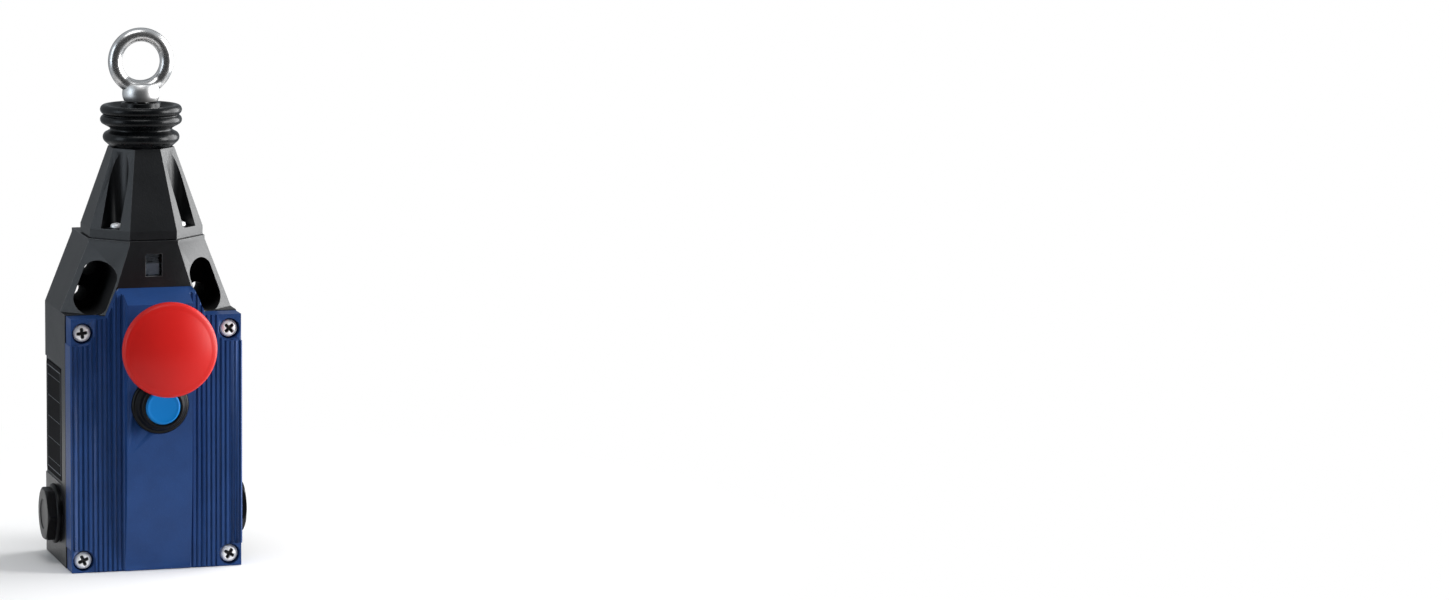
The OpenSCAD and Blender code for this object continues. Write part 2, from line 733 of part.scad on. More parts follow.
module fixed_contacts() color("#c08a4a") both_sides() for (d = bridge_ds)
    block([bridge_half + 0.3, block_slot_in], [d - 1, d + bridge_t + 1],
        [bridge_z + rod_travel / 2, bridge_z + rod_travel / 2 + bridge_h]);

module terminal_screws() color("silver") both_sides() for (x = terminal_x) for (z = terminal_z)
    translate([x, -block_front, z]) rotate([90, 0, 0])
        pan_screw(terminal_r, terminal_r * 0.75, terminal_r / 2, terminal_hole - 1);

module earth_screw() color("silver") translate([0, -wall, z_earth]) rotate([90, 0, 0])
    pan_screw(earth_head_r, earth_head_r * 2 / 3, earth_r, wall - earth_r);

// ---- Levers ----

module lever_bracket() color("#8f9499") difference() {
    union() {
        block([-block_in - 2, block_in + 2], [block_front, block_front + ear_t],
            [z_reset_pin - bracket_over, z_trip_pin + bracket_over]);
        for (z = [z_reset_pin, z_trip_pin]) both_sides()
            block([ear_in, ear_in + ear_t], [block_front, ear_front], [z - ear_half, z + ear_half]);
    }
    block([-ear_in, ear_in], [block_front - 1, ear_front + 1],
        [z_reset_pin + ear_half, z_trip_pin + bracket_over + 1]);
    for (z = [z_reset_pin, z_trip_pin]) translate([0, -lever_d, z]) rotate([0, 90, 0])
        cylinder(r = pin_r, h = 40, center = true, $fn = 32);
}

module lever_pins() color("silver") for (z = [z_reset_pin, z_trip_pin])
    translate([0, -lever_d, z]) rotate([0, 90, 0])
        cylinder(r = pin_r, h = 2 * (ear_in + ear_t), center = true, $fn = 32);

// Flat lever on its pin, its arm reaching to the height top above the pin
module lever(zp, top) difference() {
    union() {
        block([-lever_half, lever_half], [lever_d - lever_t / 2, lever_d + lever_t / 2], [zp, zp + top]);
        translate([0, -lever_d, zp]) rotate([0, 90, 0])
            cylinder(r = hub_r - 0.4, h = 2 * lever_half, center = true, $fn = 48);
    }
    translate([0, -lever_d, zp]) rotate([0, 90, 0])
        cylinder(r = pin_r + run_gap, h = 40, center = true, $fn = 32);
}

module trip_lever() color("#a4a9ae") lever(z_trip_pin, stop_arm + 4.4);

module reset_lever() color("#a4a9ae") lever(z_reset_pin, reset_arm + 4);

// ---- Emergency stop button ----

// Slotted ring nut that clamps a button's tail against the inside of the band
module ring_nut(z) difference() {
    front_cyl(nut_r, band_cavity_d - nut_t, band_cavity_d, 0, z);
    front_cyl(thread_r + 0.02, band_cavity_d - 10, band_cavity_d + 1, 0, z);
    translate([0, -band_cavity_d + nut_t, z]) for (a = [0:60:300]) rotate([0, a, 0])
        translate([0, -0.5, nut_r]) cube([3, 2.6, 1.6], center = true);
}

module stop_neck() color("#151618") difference() {
    front_turned(z_stop) polygon([[0, tail_d], [thread_r, tail_d], [thread_r, stop_face],
        [neck_r, stop_face], [neck_r, stop_face + neck_h - 1], [neck_r - 1, stop_face + neck_h],
        [0, stop_face + neck_h]]);
    front_cyl(stem_r + run_gap, tail_d - 1, stop_face + neck_h + 1, 0, z_stop);
    front_cyl(stop_room_r - 0.6, stop_room_d, stop_face + neck_h + 1, 0, z_stop);
}

module stop_nut() color("#8f9499") ring_nut(z_stop);

module stop_mushroom() color("#c4262b") front_turned(z_stop) {
    rim_c = [stop_r - cap_edge, stop_face + cap_high - 6.6];
    dome_h = 4.2;
    dome_w = stop_r - 2;
    dome_r = (dome_w * dome_w + dome_h * dome_h) / (2 * dome_h);
    crown = stop_face + cap_high;
    polygon(concat([[0, stop_face + cap_room], [cap_room_r, stop_face + cap_room],
        [cap_room_r, stop_face + cap_low], [cap_room_r + 1.4, stop_face + cap_low]],
        arc(rim_c, cap_edge, -50, 55, 8),
        [for (i = [0:10]) let (r = (stop_r - 1.9) * (1 - i / 10))
            [r, crown - dome_r + sqrt(dome_r * dome_r - r * r)]]));
}

module stop_stem() color("#3c3f42") front_turned(z_stop) polygon(concat([[0, stop_face + cap_room],
    [0, tip_d]], arc([0, tip_d + tip_r], tip_r, -85, 0, 8), [[tip_r, tail_d - stop_travel - 1.5],
    [stem_r, tail_d - stop_travel + 0.4 + stop_travel], [stem_r, stop_face + cap_room]]));

module button_spring(z, r, wire, turns, d0, d1)
    translate([0, 0, z]) rotate([90, 0, 0]) coil(r, wire, turns, d0, d1, 14);

module stop_spring() color("#9a9ea3")
    button_spring(z_stop, stop_room_r - 2, 1.3, 5, stop_room_d, stop_face + cap_room);

// ---- Reset button ----

module reset_bezel() color("#141517") difference() {
    front_turned(z_reset) polygon([[0, tail_d], [thread_r, tail_d], [thread_r, reset_face],
        [bezel_r, reset_face], [bezel_r, reset_face + 1.2], [bezel_r - 0.6, reset_face + 1.8],
        [bezel_r - 1.4, reset_face + 2.2], [reset_r + 1.5, reset_face + bezel_h - 0.5],
        [reset_r + 1.1, reset_face + bezel_h], [0, reset_face + bezel_h]]);
    front_cyl(tip_r + run_gap, tail_d - 1, reset_face + 1, 0, z_reset);
    front_cyl(reset_r + run_gap, reset_room_d, reset_face + bezel_h + 1, 0, z_reset);
}

module reset_nut() color("#8f9499") ring_nut(z_reset);

module reset_button() color("#1f86c8") front_turned(z_reset) polygon([[0, reset_face + button_low],
    [reset_r, reset_face + button_low], [reset_r, reset_face + bezel_h],
    [reset_r - 0.5, reset_face + bezel_h + 0.5], [0, reset_face + bezel_h + 0.5]]);

module reset_stem() color("#3c3f42") front_turned(z_reset) polygon(concat(
    [[0, reset_face + button_low], [0, tip_d]], arc([0, tip_d + tip_r], tip_r, -85, 0, 8),
    [[tip_r, reset_face + button_low]]));

module reset_spring() color("#9a9ea3") button_spring(z_reset, reset_r - 1.4, 1, 3.5,
    reset_room_d, reset_face + button_low);

housing();
cover();
cover_gasket();
cover_screws();
rope_head();
head_gasket();
head_screws();
indicator_window();
indicator_marker();
pull_rod();
rod_nut();
spring_seat();
main_spring();
guide_bush();
rod_circlip();
bellows();
eye_bolt();
contact_carriage();
contact_bridges();
contact_block_left();
contact_block_right();
fixed_contacts();
terminal_screws();
earth_screw();
lever_bracket();
lever_pins();
trip_lever();
reset_lever();
stop_neck();
stop_nut();
stop_mushroom();
stop_stem();
stop_spring();
reset_bezel();
reset_nut();
reset_button();
reset_stem();
reset_spring();
plug_left();
plug_right();
plug_seals();
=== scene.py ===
"""Rope pull switch with emergency stop and reset buttons, dressed over its CAD frame.

Everything is in metres in the frame of the CAD model: X to the right, Y to the back,
Z up along the rope. Each new piece is worked out on a grid, takes its place from the
boxes of the CAD nodes and rides on the body that its node belongs to.
"""
import json

import bmesh
import bpy
import numpy as np
from bpy.props import FloatProperty, FloatVectorProperty, PointerProperty
from mathutils import Matrix, Vector


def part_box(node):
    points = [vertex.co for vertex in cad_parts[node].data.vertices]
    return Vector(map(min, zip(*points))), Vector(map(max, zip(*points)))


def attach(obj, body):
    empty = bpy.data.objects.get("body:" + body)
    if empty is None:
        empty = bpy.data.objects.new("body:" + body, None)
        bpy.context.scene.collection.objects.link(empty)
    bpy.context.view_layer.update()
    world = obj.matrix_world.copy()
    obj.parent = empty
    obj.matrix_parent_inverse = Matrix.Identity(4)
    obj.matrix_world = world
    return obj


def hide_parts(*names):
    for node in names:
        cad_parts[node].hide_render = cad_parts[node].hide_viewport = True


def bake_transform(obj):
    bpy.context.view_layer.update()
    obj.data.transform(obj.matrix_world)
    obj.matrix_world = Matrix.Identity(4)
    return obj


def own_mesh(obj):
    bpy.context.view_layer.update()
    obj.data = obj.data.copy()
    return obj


bl_info = {
    "name": "Rope pull switch",
    "version": (1, 0, 0),
    "blender": (4, 5, 0),
    "location": "3D View > Sidebar > Rope switch",
    "description": "Dresses the CAD frame of a rope pull switch with detailed pieces and finishes",
    "category": "Object",
}

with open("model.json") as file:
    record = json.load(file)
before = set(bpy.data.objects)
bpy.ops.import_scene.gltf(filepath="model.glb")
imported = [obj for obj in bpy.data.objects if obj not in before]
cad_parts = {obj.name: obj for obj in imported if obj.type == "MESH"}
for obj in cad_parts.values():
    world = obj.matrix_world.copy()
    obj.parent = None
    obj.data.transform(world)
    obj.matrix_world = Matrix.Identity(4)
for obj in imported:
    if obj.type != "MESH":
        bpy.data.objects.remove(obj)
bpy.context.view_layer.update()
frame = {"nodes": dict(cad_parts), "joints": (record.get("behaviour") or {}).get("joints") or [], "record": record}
NODES = frame["nodes"]
TURN = 2 * np.pi
# The housing's through holes for its fixing screws, in mirrored pairs: the distance to
# either side, the height, the radius and how far forward each begins.
BORES = tuple((mount["dims"]["spacing_x_mm"] / 2000, mount["pos_m"][2],
               mount["dims"]["hole_r_mm"] / 1000, 2 * mount["pos_m"][1])
              for mount in frame["record"]["mounts"] if mount["kind"] == "bolt_pattern")
RECESS = 0.0062      # how far the recess before each pair reaches round them
EDGE_ANGLE = 32      # degrees between two faces of a casting that make an edge
MERGE = 2e-6         # points closer than this are one


# ---------------------------------------------------------------- sizes and colours

def length(name, description, default):
    """A length in metres that the panel shows."""
    return FloatProperty(name=name, description=description, default=default, min=0.0,
                         subtype="DISTANCE", unit="LENGTH", precision=5)


def colour(name, description, default):
    """A linear colour that the panel shows."""
    return FloatVectorProperty(name=name, description=description, default=default, min=0.0,
                               max=1.0, size=3, subtype="COLOR")


class SwitchSizes(bpy.types.PropertyGroup):
    edge_round: length("Casting edge", "Rounding along the edges of the castings", 0.00045)
    grain: length("Coat grain", "Size of the grain in the powder coat", 0.00042)
    rim_below: length("Rim below collar", "Height from the bellows' rim up to the eye's collar",
                      0.0015)
    fold_radius: length("Fold radius", "Radius of the two upper folds of the bellows", 0.0176)
    low_fold_radius: length("Lower fold radius", "Radius of the lowest fold", 0.0165)
    waist_radius: length("Waist radius", "Radius of the bellows at its waist", 0.0135)
    neck_radius: length("Bellows' neck", "Radius of the rubber neck under the eye's collar",
                        0.0086)
    wire_radius: length("Eye wire", "Radius of the wire of the eye", 0.003)
    collar_radius: length("Collar radius", "Radius of the eye's collar", 0.00805)
    collar_height: length("Collar height", "Height of the eye's collar", 0.0074)
    cap_edge: length("Cap edge", "Rounding of the mushroom's rim", 0.003)
    cap_dome: length("Cap dome", "Rise of the mushroom's domed face", 0.0042)
    plug_corner: length("Plug corner", "Distance of a plug's corners from its axis", 0.0124)
    screw_radius: length("Screw head", "Radius of a cover screw's head", 0.0038)
    screw_height: length("Screw head height", "Height of a cover screw's head", 0.0026)
    screw_cross: length("Cross recess", "Reach of the cross recess of a cover screw", 0.0025)
    spring_wire: length("Main spring wire", "Diameter of the main spring's wire", 0.0022)
    marker_rib: length("Marker rib", "Distance from rib to rib on the marker", 0.00125)
    plate_height: length("Plate height", "Height of the blank type plate", 0.0490)
    plate_depth: length("Plate width", "Width of the blank type plate", 0.0330)


class SwitchColours(bpy.types.PropertyGroup):
    casting: colour("Casting", "Black powder coat", (0.0030, 0.0036, 0.0046))
    cover: colour("Cover", "Navy blue powder coat", (0.0100, 0.0400, 0.1430))
    rubber: colour("Rubber", "Black rubber of the bellows and gaskets", (0.0022, 0.0026, 0.0030))
    stop: colour("Stop button", "Signal red", (0.465, 0.0080, 0.0060))
    reset: colour("Reset button", "Bright blue", (0.002, 0.145, 0.430))
    plastic: colour("Plastic", "Black plastic of necks and plugs", (0.0025, 0.0025, 0.0030))
    steel: colour("Steel", "Zinc plated steel", (0.70, 0.70, 0.69))
    floor: colour("Floor", "Pale floor", (0.86, 0.86, 0.86))


def sizes():
    """The sizes as the panel has them."""
    return bpy.context.scene.rope_switch_sizes


def colours():
    """The colours as the panel has them."""
    return bpy.context.scene.rope_switch_colours


# ---------------------------------------------------------------- finishes

class Signal:
    """A value on its way through a finish's nodes; arithmetic on it adds Math nodes."""

    def __init__(self, finish, socket):
        self.finish = finish
        self.socket = socket

    def math(self, operation, first, second):
        """One Math node over two values, each a Signal or a number."""
        return self.finish.add("ShaderNodeMath", {"operation": operation},
                               {0: first, 1: second})

    def __add__(self, other):
        return self.math("ADD", self, other)

    def __radd__(self, other):
        return self.math("ADD", other, self)

    def __sub__(self, other):
        return self.math("SUBTRACT", self, other)

    def __rsub__(self, other):
        return self.math("SUBTRACT", other, self)

    def __mul__(self, other):
        return self.math("MULTIPLY", self, other)

    def __rmul__(self, other):
        return self.math("MULTIPLY", other, self)

    def __pow__(self, other):
        return self.math("POWER", self, other)

    def __abs__(self):
        return self.math("ABSOLUTE", self, 0.0)

    def pingpong(self, reach):
        """Distance to the nearest even multiple of reach."""
        return self.math("PINGPONG", self, reach)

    def at_least(self, other):
        """The greater of the two."""
        return self.math("MAXIMUM", self, other)

    def at_most(self, other):
        """The smaller of the two."""
        return self.math("MINIMUM", self, other)


class Recipe:
    """A node tree that is built by calls; every value in it is a Signal."""

    def __init__(self, tree):
        self.tree = tree
        tree.nodes.clear()

    def link(self, signal, node, socket):
        """Leads a Signal to a socket of a node."""
        self.tree.links.new(signal.socket, node.inputs[socket])

    def add(self, kind, settings=None, values=None, output=0):
        """Adds one node: its settings first, then the values or links of its sockets."""
        node = self.tree.nodes.new(kind)
        for key, value in (settings or {}).items():
            setattr(node, key, value)
        for key, value in (values or {}).items():
            if isinstance(value, Signal):
                self.link(value, node, key)
            else:
                node.inputs[key].default_value = value
        return Signal(self, node.outputs[output])

    def between(self, signal, low, high, out_low=0.0, out_high=1.0):
        """Eases from out_low to out_high as the signal goes from low to high."""
        return self.add("ShaderNodeMapRange", {"interpolation_type": "SMOOTHSTEP"},
                        {0: signal, 1: low, 2: high, 3: out_low, 4: out_high})

    def blend(self, factor, first, second):
        """Mixes two colours."""
        paint = [tone if isinstance(tone, Signal) else (*tone, 1.0) for tone in (first, second)]
        return self.add("ShaderNodeMix", {"data_type": "RGBA"},
                        {0: factor, 6: paint[0], 7: paint[1]}, 2)


class Finish(Recipe):
    """A material built on one Principled shader."""

    def __init__(self, name, **constants):
        self.material = bpy.data.materials.new(name)
        self.material.use_nodes = True
        super().__init__(self.material.node_tree)
        self.shader = self.tree.nodes.new("ShaderNodeBsdfPrincipled")
        self.output = self.tree.nodes.new("ShaderNodeOutputMaterial")
        self.tree.links.new(self.shader.outputs[0], self.output.inputs[0])
        for socket, value in constants.items():
            self.shader.inputs[socket.replace("_", " ")].default_value = value
        self.place = self.add("ShaderNodeTexCoord", output="Object")

    def feed(self, socket, signal):
        """Leads a Signal to a socket of the shader."""
        self.link(signal, self.shader, socket)

    def noise(self, size, detail=2.0, roughness=0.5, stretch=(1, 1, 1)):
        """Noise whose blotches are about size metres across."""
        place = self.place
        if stretch != (1, 1, 1):
            place = self.add("ShaderNodeMapping", {}, {"Vector": place, "Scale": stretch})
        return self.add("ShaderNodeTexNoise", {}, {"Vector": place, "Scale": 1 / size,
                                                   "Detail": detail, "Roughness": roughness})

    def cells(self, size, output=0):
        """Distance from the middle of cells about size metres across."""
        return self.add("ShaderNodeTexVoronoi", {}, {"Vector": self.place, "Scale": 1 / size},
                        output)

    def painted_bore_shade(self, bores):
        """Painted shade: 1 on the walls of the bores through a casting and of the recess before each pair, which
        the coat colours near black.

        A recess reaches RECESS from the line between its two bores, and ends where they
        begin; a point's distance from that line is taken at the nearest point on it.
        """
        x, y, z = (self.add("ShaderNodeSeparateXYZ", {}, {0: self.place}, i) for i in range(3))
        (ax, az, _, begin), (bx, bz, _, _) = bores
        deep = self.between(y, begin - 0.0002, begin + 0.0002)
        run_x, run_z = bx - ax, bz - az
        share = ((abs(x) - ax) * run_x + (z - az) * run_z) * (1 / (run_x ** 2 + run_z ** 2))
        share = share.at_least(0.0).at_most(1.0)
        away = ((abs(x) - ax - share * run_x) ** 2 + (z - az - share * run_z) ** 2) ** 0.5
        inside = self.between(away, RECESS + 0.00005, RECESS + 0.00015, 1, 0) * (1 - deep)
        for at_x, at_z, radius, _ in bores:
            away = ((abs(x) - at_x) ** 2 + (z - at_z) ** 2) ** 0.5
            hole = self.between(away, radius + 0.0001, radius + 0.0003, 1, 0)
            inside = inside.at_least(hole * deep)
        return inside

    def relief(self, height, distance, strength=1.0, under=None):
        """A Bump node over the height, on top of another relief."""
        values = {"Height": height, "Distance": distance, "Strength": strength}
        if under is not None:
            values["Normal"] = under
        return self.add("ShaderNodeBump", {}, values)


def lighter(tone, share):
    """A colour times a share, no brighter than white."""
    return tuple(min(1.0, c * share) for c in tone)


def powder_coat(name, tone, gloss=0.36, specular=0.34, wear_and_highlight=0.0, bores=()):
    """Fine-textured powder coat: close grain over a slow swell, with a few paler specks.

    The rubbed share is how much of the surface is paler and smoother, as along edges: partly
    worn coat and partly a painted edge highlight. The walls of the bores and their recesses
    are coloured near black as painted shade, and quite matt.
    """
    grain = sizes().grain
    coat = Finish(name, Specular_IOR_Level=specular)
    fine = coat.noise(grain, 2.0, 0.6)
    swell = coat.noise(grain * 7, 2.0)
    cloud = coat.noise(0.011, 3.0)
    crumbs = coat.cells(grain * 1.6)
    body = coat.blend(coat.between(cloud, 0.3, 0.7), lighter(tone, 0.93), lighter(tone, 1.07))
    body = coat.blend(coat.between(fine, 0.58, 0.8, 0.0, 0.55), body, lighter(tone, 1.8))
    rough = gloss - 0.05 + fine * 0.12 + cloud * 0.06
    if wear_and_highlight:
        # Paler, smoother coat in patches along edges: partly worn coat and partly a painted edge highlight.
        wear_and_highlight_mask = coat.between(coat.noise(0.003, 3.0, 0.6), 0.35, 0.65, wear_and_highlight * 0.55, wear_and_highlight)
        body = coat.blend(wear_and_highlight_mask, body, tuple(0.045 + 2.1 * c for c in tone))
        rough = rough - wear_and_highlight_mask * 0.12
    if bores:
        # Painted shade: the walls of the bores and recesses are coloured near black and made fully matt.
        inside = coat.painted_bore_shade(bores)
        body = coat.blend(inside, body, (0.0006, 0.0006, 0.0008))
        rough = rough * (1 - inside) + inside
    coat.feed("Base Color", body)
    coat.feed("Roughness", rough)
    soft = coat.relief(swell, grain * 0.18, 0.6)
    coat.feed("Normal", coat.relief(fine + crumbs * 0.6, grain * 0.16, 0.55, soft))
    return coat.material


def plated_steel(name, tone, rough=0.24, brushed=(1, 1, 1)):
    """Bright plated steel with fine drawn lines and slight clouding."""
    metal = Finish(name, Metallic=1.0)
    cloud = metal.noise(0.004, 3.0)
    lines = metal.noise(0.0005, 2.0, 0.6, brushed)
    metal.feed("Base Color", metal.blend(metal.between(cloud, 0.3, 0.75), tone, lighter(tone, 0.8)))
    metal.feed("Roughness", rough - 0.04 + lines * 0.08 + cloud * 0.07)
    metal.feed("Normal", metal.relief(lines, 0.00002, 0.35))
    return metal.material


def screw_zinc():
    """Passivated zinc of the screw heads: pale and half matt, with painted shade darkening it down in the recess.
    """
    zinc = Finish("passivated_zinc", Metallic=0.25, Specular_IOR_Level=0.6)
    grain = zinc.noise(0.0004, 3.0, 0.6)
    cloud = zinc.noise(0.003, 2.0)
    recess = zinc.add("ShaderNodeAttribute", {"attribute_name": "recess"}, output=2)
    # Painted shade: the cross recess is coloured dark by its depth.
    painted_recess_shade = zinc.between(recess + grain * 0.2, 0.15, 0.45)
    plate = zinc.blend(cloud, (0.93, 0.94, 0.95), (0.80, 0.81, 0.83))
    zinc.feed("Base Color", zinc.blend(painted_recess_shade, plate, (0.05, 0.05, 0.055)))
    zinc.feed("Roughness", 0.26 + grain * 0.10 + cloud * 0.06 + painted_recess_shade * 0.3)
    zinc.feed("Normal", zinc.relief(grain, 0.00001, 0.4))
    return zinc.material


def polished_steel():
    """Forged and polished eye: long soft waves, hairline scuffs and a few duller patches.

    Its collar is turned and left paler and less glossy.
    """
    metal = Finish("polished_eye_steel", Metallic=0.94)
    top = float(corner_box("eye_bolt")[0][2]) + sizes().collar_height
    height = metal.add("ShaderNodeSeparateXYZ", {}, {0: metal.place}, 2)
    turned = metal.between(height, top - 0.0002, top + 0.0012, 1, 0)
    wave = metal.noise(0.009, 1.0)
    scuff = metal.noise(0.0016, 4.0, 0.65, (1, 1, 5))
    worn = metal.between(metal.noise(0.004, 3.0), 0.48, 0.72)
    shine = metal.blend(worn, (0.50, 0.495, 0.49), (0.38, 0.375, 0.37))
    metal.feed("Base Color", metal.blend(turned, shine, (0.56, 0.555, 0.55)))
    metal.feed("Roughness", 0.23 + worn * 0.07 + scuff * 0.04 + turned * 0.14)
    fine = metal.relief(scuff, 0.000004, 0.2)
    metal.feed("Normal", metal.relief(wave, 0.0001, 0.07, fine))
    return metal.material


def moulded(name, tone, rough, texture=0.0003, depth=0.00002, specular=0.5, spread=0.12):
    """Moulded plastic: an even tone, a fine sparked texture and slight changes in gloss."""
    plastic = Finish(name, Specular_IOR_Level=specular)
    cloud = plastic.noise(0.012, 2.0)
    fine = plastic.noise(texture, 2.0)
    plastic.feed("Base Color", plastic.blend(cloud, lighter(tone, 1 - spread),
                                             lighter(tone, 1 + spread)))
    plastic.feed("Roughness", rough - 0.03 + cloud * 0.06 + fine * 0.05)
    plastic.feed("Normal", plastic.relief(fine, depth, 0.5))
    return plastic.material


def rubber(name, tone):
    """Matt black rubber with a dusty bloom and a leathery fine skin."""
    skin = Finish(name, Specular_IOR_Level=0.17)
    bloom = skin.between(skin.noise(0.006, 4.0, 0.6), 0.42, 0.72)
    fine = skin.noise(0.0004, 3.0)
    skin.feed("Base Color", skin.blend(bloom, tone, lighter(tone, 1.7)))
    skin.feed("Roughness", 0.22 + bloom * 0.12 + fine * 0.06)
    skin.feed("Normal", skin.relief(fine, 0.00003, 0.35))
    return skin.material


def shade_tinted_pane():
    """Window pane tinted grey as painted shade over the marker behind it, very lightly scratched."""
    pane = Finish("shade_tinted_window", Transmission_Weight=1.0, IOR=1.49)
    # Painted shade: the grey tint darkens the marker seen through the pane.
    pane.shader.inputs["Base Color"].default_value = (0.55, 0.57, 0.62, 1.0)
    scuff = pane.noise(0.0008, 4.0, 0.7, (1, 1, 6))
    pane.feed("Roughness", 0.02 + pane.between(scuff, 0.55, 0.75) * 0.08)
    return pane.material


def ruled_plate():
    """Black type plate without words: a pale line round it and thin rules, printed."""
    plate = Finish("ruled_type_plate", Specular_IOR_Level=0.05)
    size, middle = label_place()
    fine = plate.noise(0.0005, 2.0)
    depth = plate.add("ShaderNodeSeparateXYZ", {}, {0: plate.place}, 1)
    height = plate.add("ShaderNodeSeparateXYZ", {}, {0: plate.place}, 2)
    aside = abs(depth - float(middle[0]))
    above = abs(height - float(middle[1]))
    half = size - 0.0022
    rules = plate.between((height - float(middle[1])).pingpong(0.0046), 0.00007, 0.00014, 1, 0)
    inside = plate.between(aside, half[0] - 0.0016, half[0] - 0.0012, 1, 0)
    inside = inside * plate.between(above, half[1] - 0.0016, half[1] - 0.0012, 1, 0)
    frame_line = plate.between(abs(aside - half[0]), 0.00015, 0.00025, 1, 0)
    frame_line = frame_line * plate.between(above, half[1], half[1] + 0.0003, 1, 0)
    end_line = plate.between(abs(above - half[1]), 0.00015, 0.00025, 1, 0)
    end_line = end_line * plate.between(aside, half[0], half[0] + 0.0003, 1, 0)
    print_mask = (rules * inside).at_least(frame_line).at_least(end_line)
    print_mask = print_mask * plate.between(fine, 0.30, 0.45, 0.75, 1.0)
    plate.feed("Base Color", plate.blend(print_mask, (0.004, 0.004, 0.005), (0.16, 0.17, 0.18)))
    plate.feed("Roughness", 0.72 + fine * 0.10 + print_mask * 0.1)
    plate.feed("Normal", plate.relief(fine, 0.00002, 0.4))
    return plate.material


def make_finishes():
    """All finishes of the switch by name, made once."""
    tone = colours()
    steel = tuple(tone.steel)
    return {
        # The black coat carries painted shade on the walls of its bores and recesses.
        "black_casting": powder_coat("black_powder_coat", tuple(tone.casting), bores=BORES),
        "blue_casting": powder_coat("navy_powder_coat", tuple(tone.cover), 0.40, 0.22),
        # The edge finishes go on the bevels: paler coat, partly wear and partly a painted edge highlight.
        "black_edge": powder_coat("wear_and_highlight_black_edge", tuple(tone.casting), 0.36, 0.4, 1.0),
        "blue_edge": powder_coat("wear_and_highlight_navy_edge", tuple(tone.cover), 0.40, 0.22, 1.0),
        "black_rubber": rubber("black_rubber", tuple(tone.rubber)),
        "zinc_steel": plated_steel("zinc_plate", steel, 0.22),
        "spring_steel": plated_steel("spring_wire", (0.42, 0.42, 0.43), 0.28, (1, 1, 4)),
        "eye_steel": polished_steel(),
        "screw_zinc": screw_zinc(),
        "bronze": plated_steel("bearing_bronze", (0.50, 0.33, 0.15), 0.32, (6, 6, 1)),
        "contact_brass": plated_steel("contact_brass", (0.72, 0.47, 0.22), 0.26),
        "marker_silver": moulded("silver_marker", (0.42, 0.43, 0.45), 0.30, 0.0005),
        "window_clear": shade_tinted_pane(),
        "beige_plastic": moulded("insulating_plastic", (0.52, 0.47, 0.37), 0.48),
        "dark_plastic": moulded("black_plastic", tuple(tone.plastic), 0.33, specular=0.13),
        "red_plastic": moulded("signal_red", tuple(tone.stop), 0.36, 0.0006, 0.00001, 0.2,
                               0.04),
        "blue_plastic": moulded("reset_blue", tuple(tone.reset), 0.36, 0.0006, 0.00001, 0.15,
                                0.04),
        "ruled_plate": ruled_plate(),
    }


FINISHES = {}


def dress(obj, slot):
    """Gives an object the finish of that name in its first material slot."""
    if obj.material_slots:
        obj.material_slots[0].material = FINISHES[slot]
    else:
        obj.data.materials.append(FINISHES[slot])


# ---------------------------------------------------------------- shapes

def corner_box(node):
    """Lowest corner, highest corner and middle of a CAD node, as arrays."""
    low, high = (np.array(corner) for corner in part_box(node))
    return low, high, (low + high) / 2


def label_place():
    """Half size and middle of the type plate in its recess, both as (Y, Z)."""
    low, high, _ = corner_box("housing")
    size = sizes()
    return (np.array([size.plate_depth, size.plate_height]) / 2,
            np.array([high[1] - 0.0180, low[2] + 0.06075]))


def arc(centre, radius, start, end, steps=10):
    """Points on a circular arc in a profile plane, angles in degrees."""
    angle = np.radians(np.linspace(start, end, steps + 1))
    return np.column_stack([centre[0] + radius * np.cos(angle),
                            centre[1] + radius * np.sin(angle)])


def eased(corners, radii, steps=5):
    """A profile line with its corners rounded.

    Each inner corner becomes a quadratic curve that leaves the line before the corner by
    its radius and joins the line after it at the same distance, at most half a side.
    """
    corners = np.asarray(corners, float)
    cut = np.broadcast_to(np.asarray(radii, float), (len(corners),))[1:-1, None]
    before, here, after = corners[:-2], corners[1:-1], corners[2:]
    into, out = before - here, after - here
    span_in = np.linalg.norm(into, axis=1, keepdims=True)
    span_out = np.linalg.norm(out, axis=1, keepdims=True)
    cut = np.minimum(cut, 0.5 * np.minimum(span_in, span_out))
    start = (here + into / span_in * cut)[:, None]
    end = (here + out / span_out * cut)[:, None]
    t = np.linspace(0, 1, steps + 1)[None, :, None]
    curve = (1 - t) ** 2 * start + 2 * t * (1 - t) * here[:, None] + t ** 2 * end
    return np.vstack([corners[:1], curve.reshape(-1, 2), corners[-1:]])


def grid_object(name, grids, smooth=40, marks=None):
    """One mesh object from grids of points, its seams and poles merged, normals outward.

    Each grid is an array of rows by columns by 3; every cell of it becomes one face. Marks
    give a number for each point, kept as the attribute "recess" for the finish.
    """
    points, faces, first = [], [], 0
    for grid in grids:
        rows, columns = grid.shape[:2]
        index = first + np.arange(rows * columns).reshape(rows, columns)
        faces.append(np.stack([index[:-1, :-1], index[:-1, 1:], index[1:, 1:], index[1:, :-1]],
                              axis=-1).reshape(-1, 4))
        points.append(grid.reshape(-1, 3))
        first += rows * columns
    mesh = bpy.data.meshes.new(name)
    mesh.from_pydata(np.vstack(points).tolist(), [], np.vstack(faces).tolist())
    if marks is not None:
        recess = mesh.attributes.new("recess", "FLOAT", "POINT")
        recess.data.foreach_set("value", np.concatenate([mark.ravel() for mark in marks]))
    tidy = bmesh.new()
    tidy.from_mesh(mesh)
    bmesh.ops.remove_doubles(tidy, verts=tidy.verts, dist=MERGE)
    bmesh.ops.recalc_face_normals(tidy, faces=tidy.faces)
    tidy.to_mesh(mesh)
    tidy.free()
    mesh.shade_smooth()
    mesh.set_sharp_from_angle(angle=np.radians(smooth))
    obj = bpy.data.objects.new(name, mesh)
    bpy.context.scene.collection.objects.link(obj)
    return obj


